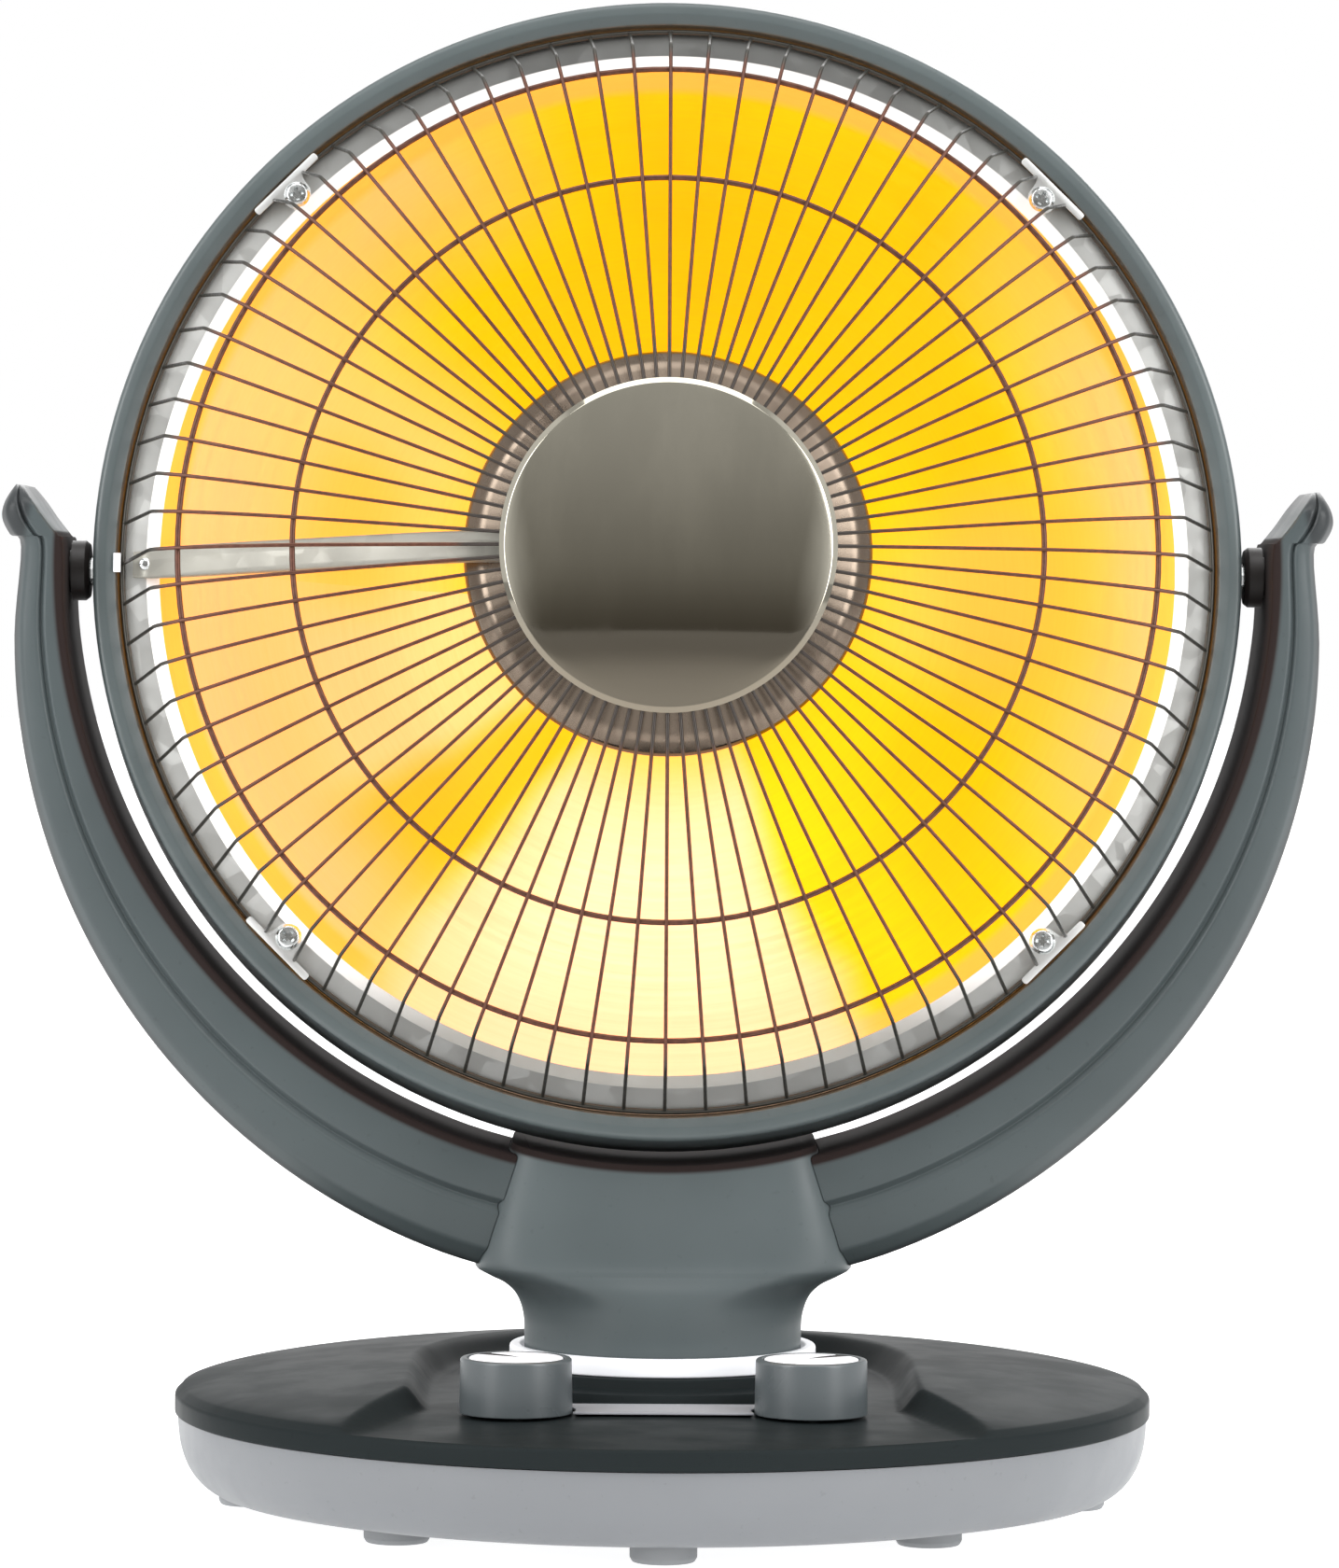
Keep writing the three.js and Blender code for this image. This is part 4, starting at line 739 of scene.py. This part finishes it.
KNOB_LOW = floor_height(70.5) + 0.4
KNOB_TOP = KNOB_LOW + 16.7
for side, name in ((-1, "left"), (1, "right")):
    body = f"{name}_knob"
    turn = -side * math.radians(45)
    skirt = rounded([(0, KNOB_TOP - 3.5), (3.3, KNOB_TOP - 3.5), (3.3, KNOB_LOW), (17.1, KNOB_LOW, 0.4),
                     (16.8, KNOB_TOP, 1.7), (14.8, KNOB_TOP, 0.35), (14.5, KNOB_TOP - 1.5),
                     (0, KNOB_TOP - 1.5)], 6)
    place = (side * KNOB_ASIDE, -KNOB_AHEAD)
    piece(f"{name}_knob_skirt", placed(turned(skirt, 96), *place), KNOB, body,
          [f"knob_{name}"])
    on_knob = Matrix.Translation((place[0] * MM, place[1] * MM, 0)) @ Matrix.Rotation(turn, 4, "Z")
    dial = rounded([(0, KNOB_TOP - 1.2), (14.2, KNOB_TOP - 1.2), (14.2, KNOB_TOP, 0.5),
                    (0, KNOB_TOP + 0.2)], 4)
    disc = to_object("disc", turned(dial, 96))
    wide = [(-3.5, 17), (-0.5, -1.5), (0.5, -1.5), (3.5, 17)]
    cut(disc, prism(wide, KNOB_TOP - 3, KNOB_TOP + 3))
    piece(f"{name}_knob_disc", disc, PALE, body, [f"knob_{name}_dial"], on_knob)
    ridge = loft([[(x, y, z) for x, z in ((-w, KNOB_TOP - 1.2), (w, KNOB_TOP - 1.2), (w, top - 0.3),
                                          (w * 0.6, top), (-w * 0.6, top), (-w, top - 0.3))]
                  for y, w, top in ((-1, 0.35, KNOB_TOP + 0.1), (4, 1.3, KNOB_TOP + 0.2),
                                    (9, 2.1, KNOB_TOP + 0.1), (13.6, 2.7, KNOB_TOP))])
    pointer = to_object("pointer", ridge)
    piece(f"{name}_knob_mark", pointer, BLACK, body, [f"knob_{name}_pointer"], on_knob)

# ------------------------------------------------------------ neck

NECK_LOW = 47.8
YOKE_INNER, YOKE_INNER_Z = 185.9, 292.25
YOKE_OUTER, YOKE_OUTER_Z = 201.15, 270.2


def neck_level(z, half_width, half_depth, squareness, steps=128):
    loop = []
    for i in range(steps):
        angle = 2 * math.pi * (i + 0.5) / steps
        c, s = math.cos(angle), math.sin(angle)
        loop.append((half_width * math.copysign(abs(c) ** (2 / squareness), c),
                     half_depth * math.copysign(abs(s) ** (2 / squareness), s), z))
    return loop


def through(keys, count):
    """Smooth run of values through the given rows (Catmull-Rom), count steps between two rows."""
    out = []
    for k in range(len(keys) - 1):
        rows = [keys[max(k - 1, 0)], keys[k], keys[k + 1], keys[min(k + 2, len(keys) - 1)]]
        for step in range(count):
            t = step / count
            out.append([
                0.5 * (2 * b + (c - a) * t + (2 * a - 5 * b + 4 * c - d) * t * t
                       + (3 * b - a - 3 * c + d) * t ** 3)
                for a, b, c, d in zip(*rows)
            ])
    return out + [list(keys[-1])]


def neck_shape(margin=0.0):
    flank = through([
        (NECK_LOW + 1.2, 43.2, 43.2, 2), (54, 43.2, 43.2, 2), (60.4, 43.6, 43.2, 2), (66.4, 45.7, 42.7, 2.1),
        (70.7, 49.7, 41.4, 2.5), (73.4, 54.4, 39.6, 3.1), (75.4, 57.7, 38.3, 3.7),
    ], 4)
    upper = through([(76.4, 58.5, 38, 4), (80.4, 57.7, 36.4, 5), (93, 54, 34.9, 6), (115.5, 47, 32.5, 7)], 4)
    levels = [(NECK_LOW, 42.4, 42.4, 2)] + flank + upper
    return loft([neck_level(z, w + margin, d + margin, q) for z, w, d, q in levels])


neck = to_object("neck", neck_shape(), 40)
SADDLE = YOKE_INNER - 2.9
saddle = moved(turned([(0, -80), (SADDLE, -80), (SADDLE, 80), (0, 80)], 360),
               Matrix.Translation((0, 0, YOKE_INNER_Z)) @ Matrix.Rotation(math.pi / 2, 4, "X"))
cut(neck, saddle, sharp=40)
cut(neck, round_bar(11.3, 40, 75.6), sharp=40)
bevelled(neck, 0.9, 3, 50, 40)
piece("neck_body", neck, NECK, "yoke", ["neck_housing"])

# ------------------------------------------------------------ yoke arms and pivots


def arm_edges():
    """Points of the left arm's inner and outer edge, from its root in the neck to the curled tip."""
    keys = []
    for i in range(12):
        inner = math.radians(lerp(12, 92, i / 11))
        outer = math.radians(lerp(12, 98, i / 11))
        keys.append((-YOKE_INNER * math.sin(inner), YOKE_INNER_Z - YOKE_INNER * math.cos(inner),
                     -YOKE_OUTER * math.sin(outer), YOKE_OUTER_Z - YOKE_OUTER * math.cos(outer)))
    x_in, z_in, x_out, z_out = keys[-1]
    for step in ((1.8, 3.3, 3.4, 3.8), (5.7, 8.3, 5.8, 8.8), (9.5, 13.8, 5.1, 13.8), (12.7, 18.3, 2.3, 19.4)):
        keys.append((x_in - step[0], z_in + step[1], x_out - step[2], z_out + step[3]))
    return through(keys, 5)


def arm_shape():
    edges = arm_edges()
    loops = []
    for station, (x_in, z_in, x_out, z_out) in enumerate(edges):
        inner, outer = Vector((x_in, 0, z_in)), Vector((x_out, 0, z_out))
        thick = (outer - inner).length
        along = (outer - inner).normalized()
        left = len(edges) - 1 - station
        narrow = 1 - 0.34 * max(0, 1 - left / 7) ** 2
        d = 29 * narrow
        section = rounded([
            (0, -d, 1.6), (0.40 * thick, -d, 1.2), (0.455 * thick, -d + 2.3, 0.7),
            (0.52 * thick, -d + 0.3, 1.6), (0.84 * thick, -d + 1.4, 3), (thick, -d + 7, 3),
            (thick, d - 7, 3), (0.84 * thick, d - 1, 3), (0, d, 1.6),
        ], 3, closed=True)
        loops.append([inner + along * u + Vector((0, v, 0)) for u, v in section])
    return loft(loops)


def at_pivot(profile, side, steps=64):
    """Closed form turned about the tilt axis from (radius, distance from the middle) points."""
    turn = Matrix.Rotation(side * math.pi / 2, 4, "Y")
    return moved(turned(profile, steps, closed=True), Matrix.Translation((0, 0, PIVOT_Z)) @ turn)


for side, name in ((-1, "left"), (1, "right")):
    arm = to_object("arm", arm_shape(), 30)
    if side > 0:
        arm.data.transform(Matrix.Scale(-1, 4, (1, 0, 0)))
        arm.data.flip_normals()
    cut(arm, neck_shape(0.25), sharp=30)
    cut(arm, at_pivot([(0.01, 170), (6.6, 170), (6.6, 193.7), (4.6, 193.7), (4.6, 196.2), (0.01, 196.2)],
                      side), sharp=30)
    piece(f"{name}_arm", arm, ARM, "yoke", [f"yoke_arm_{name}"])
    spacer = rounded([(4.5, 179.3), (8.2, 179.3, 0.5), (9.3, 180.7, 0.5), (9.3, 184.9), (6.3, 184.9),
                      (6.3, 193.3), (4.5, 193.3)], 3, closed=True)
    piece(f"{name}_pivot_spacer", at_pivot(spacer, side), BLACK, "yoke",
          [f"pivot_bush_{name}"])

# ------------------------------------------------------------ head: housing, dish and rim

RIM_RADIUS = 177.6
BACK_RADIUS = 179
MOUTH_RADIUS = 169.6
BACK_START, BACK_DEPTH, WALL = 33, 64, 2.5
DISH_FLOOR, DISH_DEPTH = -78, 71.1
VENTS = 16


def housing_shape():
    def back(radius, reach):
        shares = [i / 10 for i in range(1, 11)]
        return [(radius * math.sqrt(1 - (s * 0.93) ** 2), -BACK_START - reach * s) for s in shares]

    outside = list(reversed(back(BACK_RADIUS, BACK_DEPTH)))
    inside = back(BACK_RADIUS - WALL, BACK_DEPTH - WALL)
    end = -BACK_START - BACK_DEPTH
    front = rounded([
        (BACK_RADIUS, -BACK_START), (RIM_RADIUS, -6, 8), (RIM_RADIUS, -0.4, 4.2), (173.6, 0, 2),
        (MOUTH_RADIUS + 0.7, -1.1, 0.9), (MOUTH_RADIUS, -7.2), (162.5, -7.2), (162.5, -10),
        (175.1, -10), (BACK_RADIUS - WALL, -BACK_START),
    ], 6)
    return head_turned([(0, end)] + outside + front + inside + [(0, end + WALL)], 192)


housing = to_object("housing", housing_shape(), 34)
for i in range(VENTS):  # long vents with round ends in the back
    slot = block((34, 5, 80), (109, 0, -80))
    ends = [placed(round_bar(2.5, -120, -40, 16), r, 0) for r in (92, 126)]
    turn = Matrix.Rotation(2 * math.pi * (i + 0.5) / VENTS, 4, "Z")
    to_head = Matrix.Rotation(math.pi / 2, 4, "X")
    for part in [slot, *ends]:
        cut(housing, moved(part, to_head @ turn), sharp=34)
for side in (-1, 1):
    bore = round_bar(4.3, 160, 190)
    to_side = Matrix.Translation((0, RIM_AHEAD, 0)) @ Matrix.Rotation(side * math.pi / 2, 4, "Y")
    cut(housing, moved(bore, to_side), sharp=34)
piece("head_shell", housing, HEAD_DARK, "head", ["head_housing"], HEAD)


def dish_at(radius):
    return DISH_FLOOR + DISH_DEPTH * (radius / DISH_RADIUS) ** 2


rows = [DISH_RADIUS * i / 30 for i in range(31)]
front = [(r, dish_at(r) + 1) for r in rows[:-1]] + [(DISH_RADIUS, -6.1), (169.2, -6.1)]
behind = [(169.2, -6.9), (DISH_RADIUS, -6.9)] + [(r, dish_at(r)) for r in reversed(rows[:-1])]
piece("dish", head_turned(front + behind, 192), DISH, "head", ["reflector_dish"], HEAD)

band = rounded([
    (157.2, -7.1), (161.3, -5.7), (169.2, -5.6), (169.2, -4.8, 0.3), (161.2, -4.7, 0.4),
    (157.2, -6.4, 0.3),
], 4, closed=True)
piece("silver_band", head_turned(band, 240, closed=True), BAND, "head", ["rim_band"], HEAD)
lip_tab = block((2.2, 0.9, 5.8), (-169.9, 0.1, 0))
piece("lip_tab", lip_tab, PALE, "head", [], HEAD)

# ------------------------------------------------------------ wire guard

GUARD_WIRES = 84
WIRE = 0.58
RING = 0.86
wire_run = through([
    (46.0, 44.7), (70, 43.4), (92, 41.8), (114, 40.0), (133, 36.8), (149.5, 32.6),
], 3)
bend = rounded([(149.5, 32.6), (157.8, 28.6, 4.2), (168.3, -2.9)], 6)[1:]
profile = [tuple(p) for p in wire_run] + [tuple(p) for p in bend]
wires = []
for i in range(GUARD_WIRES):
    angle = 2 * math.pi * i / GUARD_WIRES
    path = [(r * math.cos(angle), -ahead, r * math.sin(angle)) for r, ahead in profile]
    wires.append(tube(path, WIRE, 8))
back_by = WIRE + RING * 0.75
rings = [
    ring_wire(46.5, 44.7 - back_by, RING, 96),
    ring_wire(114, 40.0 - back_by, RING),
    ring_wire(149.5 - 0.3, 32.6 - back_by, RING),
    ring_wire(168.4, -2.9, RING),
]
piece("wire_guard", merged(*wires, *rings), WIRE_BROWN, "head", ["front_guard"], HEAD, 60)

# ------------------------------------------------------------ clips, screws


def clip_outline():
    """T-shaped strip as (outwards, aside) points: a long bar and a round tab under the screw."""
    half = [
        (169.5, 13.0, 0.9), (167.2, 13.0, 0.9), (167.2, 5.4, 1.6), (164.8, 4.7, 1.8), (160.9, 4.2, 3.0),
    ]
    other = [(u, -v, r) for u, v, r in reversed(half)]
    return rounded(half + other, 5, closed=True)


for i in range(4):
    turn = Matrix.Rotation(-math.radians(45 + 90 * i), 4, "Y")
    strip = to_object("clip", loft([[(u, -ahead, v) for u, v in clip_outline()] for ahead in (-0.8, 0.0)]))
    heel = block((0.8, 4.4, 7), (161.6, 2.4, 0))
    cut(strip, heel, join=True)
    bevelled(strip, 0.2, 2, 40)
    piece(f"clip_strip_{i + 1}", strip, CLIP, "head", [f"guard_clip_{i + 1}"], HEAD @ turn)
    to_face = Matrix.Translation((163.5 * MM, 0, 0)) @ Matrix.Rotation(math.pi / 2, 4, "X")
    cross_screw(f"clip_pan_screw_{i + 1}", 4, 2.4, STEEL, "head",
                HEAD @ turn @ to_face @ Matrix.Rotation(math.radians(20 + 37 * i), 4, "Z"))
    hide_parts(f"clip_screw_{i + 1}")

# ------------------------------------------------------------ cap, hub, tube and element

CAP_TOP = 53.5
CAP_CROWN = 0.00275
cap_dome = [(r, CAP_TOP - CAP_CROWN * r * r) for r in range(2, 49, 2)]
cap_front = rounded([(0, CAP_TOP)] + cap_dome + [(49.6, 46.7, 0.9), (51.2, 45.6, 0.9)], 5)
cap_back = rounded([(51.2, 45.6), (51.0, 44.9, 0.4), (49.4, 44.9, 0.4), (48.4, 46.3, 0.8), (0, 51)], 4)[1:]
piece("mirror_cap", head_turned(cap_front + cap_back, 160), CHROME, "head", ["centre_cap"],
      HEAD, 60)

hub = rounded([
    (0, 36.4), (45, 36.4, 2), (57.5, 32.6, 8), (61.6, 29, 3), (62.5, 26.8, 0.6), (61.4, 26.8), (60.4, 29, 3),
    (56.5, 31.8, 8), (45, 35.4, 2), (0, 35.4),
], 6)
hub_bowl = to_object("hub", head_turned(hub, 160), 40)
lead_hole = moved(round_bar(3, 20, 50),
                  Matrix.Translation((-45, 0, 0)) @ Matrix.Rotation(math.pi / 2, 4, "X"))
cut(hub_bowl, lead_hole, sharp=40)
piece("hub_bowl", hub_bowl, HUB, "head", ["hub_shield"], HEAD)


def tube_shape():
    stations = through([
        (165.2, -3.9, 8.0, 1.5), (162, -3.9, 8.6, 1.5), (158.6, -1.9, 9.2, 1.7), (152, 1.8, 9.8, 3.2),
        (140, 7.6, 10, 4.2), (110, 20.4, 10, 5), (80, 32.4, 10, 5), (62, 38.4, 9.8, 5), (54, 39.2, 9.6, 5),
        (40, 39.2, 9.4, 5),
    ], 3)
    loops = []
    for r, ahead, width, thick in stations:
        outline = rounded([(-width / 2, -thick / 2, thick * 0.4), (-width / 2, thick / 2, thick * 0.4),
                           (width * 0.12, thick / 2, 1.5), (width / 2, thick * 0.22, thick * 0.3),
                           (width / 2, -thick / 2, thick * 0.35)], 3, closed=True)
        loops.append([(-r, -ahead - v, u) for u, v in outline])
    return loft(loops)


piece("hub_tube", tube_shape(), TUBE, "head", ["support_tube"], HEAD, 40)
rivet = turned(rounded([(0, 0), (2.0, 0), (1.9, 0.7, 0.5), (0.9, 1.2, 0.4), (0, 1.25)], 4), 32)
rivet_place = Matrix.Translation((-161.4 * MM, 3.1 * MM, 0)) @ Matrix.Rotation(math.pi / 2, 4, "X")
piece("hub_tube_rivet", rivet, STEEL, "head", ["tube_rivet"], HEAD @ rivet_place)

core = rounded([(0, -8.9), (7.2, -8.9), (9, -7), (12.8, 30), (22, 30.2, 0.8), (22, 35.1), (0, 35.1)], 3)
piece("former", head_turned(core, 48), CERAMIC, "head", ["ceramic_core"], HEAD)
COIL_TURNS = 8
STEPS_A_TURN = 26
coil_steps = COIL_TURNS * STEPS_A_TURN
coil_path = []
for i in range(coil_steps + 1):
    angle = 2 * math.pi * i / STEPS_A_TURN
    ahead = lerp(27.4, -3.4, i / coil_steps)
    radius = lerp(9, 13, (ahead + 9) / 44) + 1.9
    coil_path.append((radius * math.cos(angle), -ahead, radius * math.sin(angle)))
piece("glow_coil", tube(coil_path, 1.25, 8), HEAT, "head", ["heating_coil"], HEAD, 60)

# ------------------------------------------------------------ solids that stay as they are

KEPT = {
    "ballast_ring": IRON, "knob_left_shaft": STEEL, "knob_right_shaft": STEEL, "power_switch": BLACK,
    "timer_unit": BLACK, "swivel_motor": STEEL, "swivel_crank": STEEL, "swivel_lever": STEEL,
    "tip_over_plunger": BLACK, "tip_over_switch": BLACK, "swivel_spindle": STEEL, "spindle_nut": STEEL,
    "pivot_pin_left": STEEL, "pivot_pin_right": STEEL,
}
for name, material in KEPT.items():
    node = frame["nodes"][name]
    node.data.materials.clear()
    node.data.materials.append(material)

# ------------------------------------------------------------ floor, light and surroundings


def stage_material():
    """Pale floor that is lit evenly under and behind the heater and falls off in front of it."""
    nodes = Nodes("pale_floor")
    lit = nodes.span(nodes.position()["Y"], -0.75, -0.24)
    cloud = nodes.span(nodes.noise(1.3, 3), 0.3, 0.7, 0.0, 0.04)
    grey = nodes.math("SUBTRACT", nodes.math("MULTIPLY", lit, 0.12), cloud)
    base = nodes.mix(nodes.math("ADD", grey, 0.35), (0.4, 0.4, 0.4), (0.85, 0.85, 0.85))
    nodes.set(Base_Color=base, Roughness=0.7)
    nodes.set(Emission_Color=(1, 1, 1, 1), Emission_Strength=nodes.math("MULTIPLY", lit, 0.86))
    return nodes.material


floor = to_object("floor", turned([(0, -0.05), (12000, -0.05)], 96))
floor.data.materials.append(stage_material())


def soft_box(name, place, aim, size, power):
    light = bpy.data.lights.new(name, "AREA")
    light.shape = "RECTANGLE"
    light.size, light.size_y = size
    light.energy = power
    lamp = bpy.data.objects.new(name, light)
    bpy.context.collection.objects.link(lamp)
    lamp.location = place
    lamp.rotation_euler = (Vector(aim) - Vector(place)).to_track_quat("-Z", "Y").to_euler()


soft_box("left_soft_box", (-1.5, -1.2, 0.95), (0, 0, 0.2), (0.8, 1.7), 24)
soft_box("right_soft_box", (1.5, -1.3, 0.95), (0, 0, 0.2), (0.9, 1.7), 27)
soft_box("top_soft_box", (0, -0.5, 1.9), (0, 0, 0.2), (1.6, 1.2), 17)
soft_box("back_soft_box", (0.3, 1.8, 1.4), (0, 0, 0.25), (1.6, 1.2), 18)

world = bpy.data.worlds.new("surroundings")
bpy.context.scene.world = world
world.use_nodes = True
sky = world.node_tree
background = sky.nodes["Background"]
direction = sky.nodes.new("ShaderNodeTexCoord")
split = sky.nodes.new("ShaderNodeSeparateXYZ")
sky.links.new(direction.outputs["Generated"], split.inputs[0])


def sky_ramp(value, low, high, most=1.0):
    ramp = sky.nodes.new("ShaderNodeMapRange")
    ramp.interpolation_type = "SMOOTHSTEP"
    for socket, number in (("From Min", low), ("From Max", high), ("To Min", 0.0), ("To Max", most)):
        ramp.inputs[socket].default_value = number
    sky.links.new(value, ramp.inputs["Value"])
    return ramp.outputs["Result"]


def sky_math(operation, a, b):
    node = sky.nodes.new("ShaderNodeMath")
    node.operation = operation
    for socket, value in zip(node.inputs, (a, b)):
        sky.links.new(value, socket)
    return node.outputs[0]


# White behind and at the sides, darker in front, where the room is.
sideways = sky_math("MULTIPLY", split.outputs["X"], split.outputs["X"])
light_share = sky_math("MAXIMUM", sky_ramp(split.outputs["Y"], -0.25, 0.55), sky_ramp(sideways, 0.15, 0.34))
light_share = sky_math("MAXIMUM", light_share, sky_ramp(split.outputs["Z"], -0.1, 1.0, 0.6))
shade_mix = sky.nodes.new("ShaderNodeMix")
shade_mix.data_type = "RGBA"
shade_mix.inputs["A"].default_value = (0.17, 0.16, 0.14, 1)
shade_mix.inputs["B"].default_value = (1.0, 1.0, 1.0, 1)
sky.links.new(light_share, shade_mix.inputs["Factor"])
sky.links.new(shade_mix.outputs["Result"], background.inputs["Color"])
background.inputs["Strength"].default_value = 1.0
bpy.context.scene.view_settings.view_transform = "Standard"
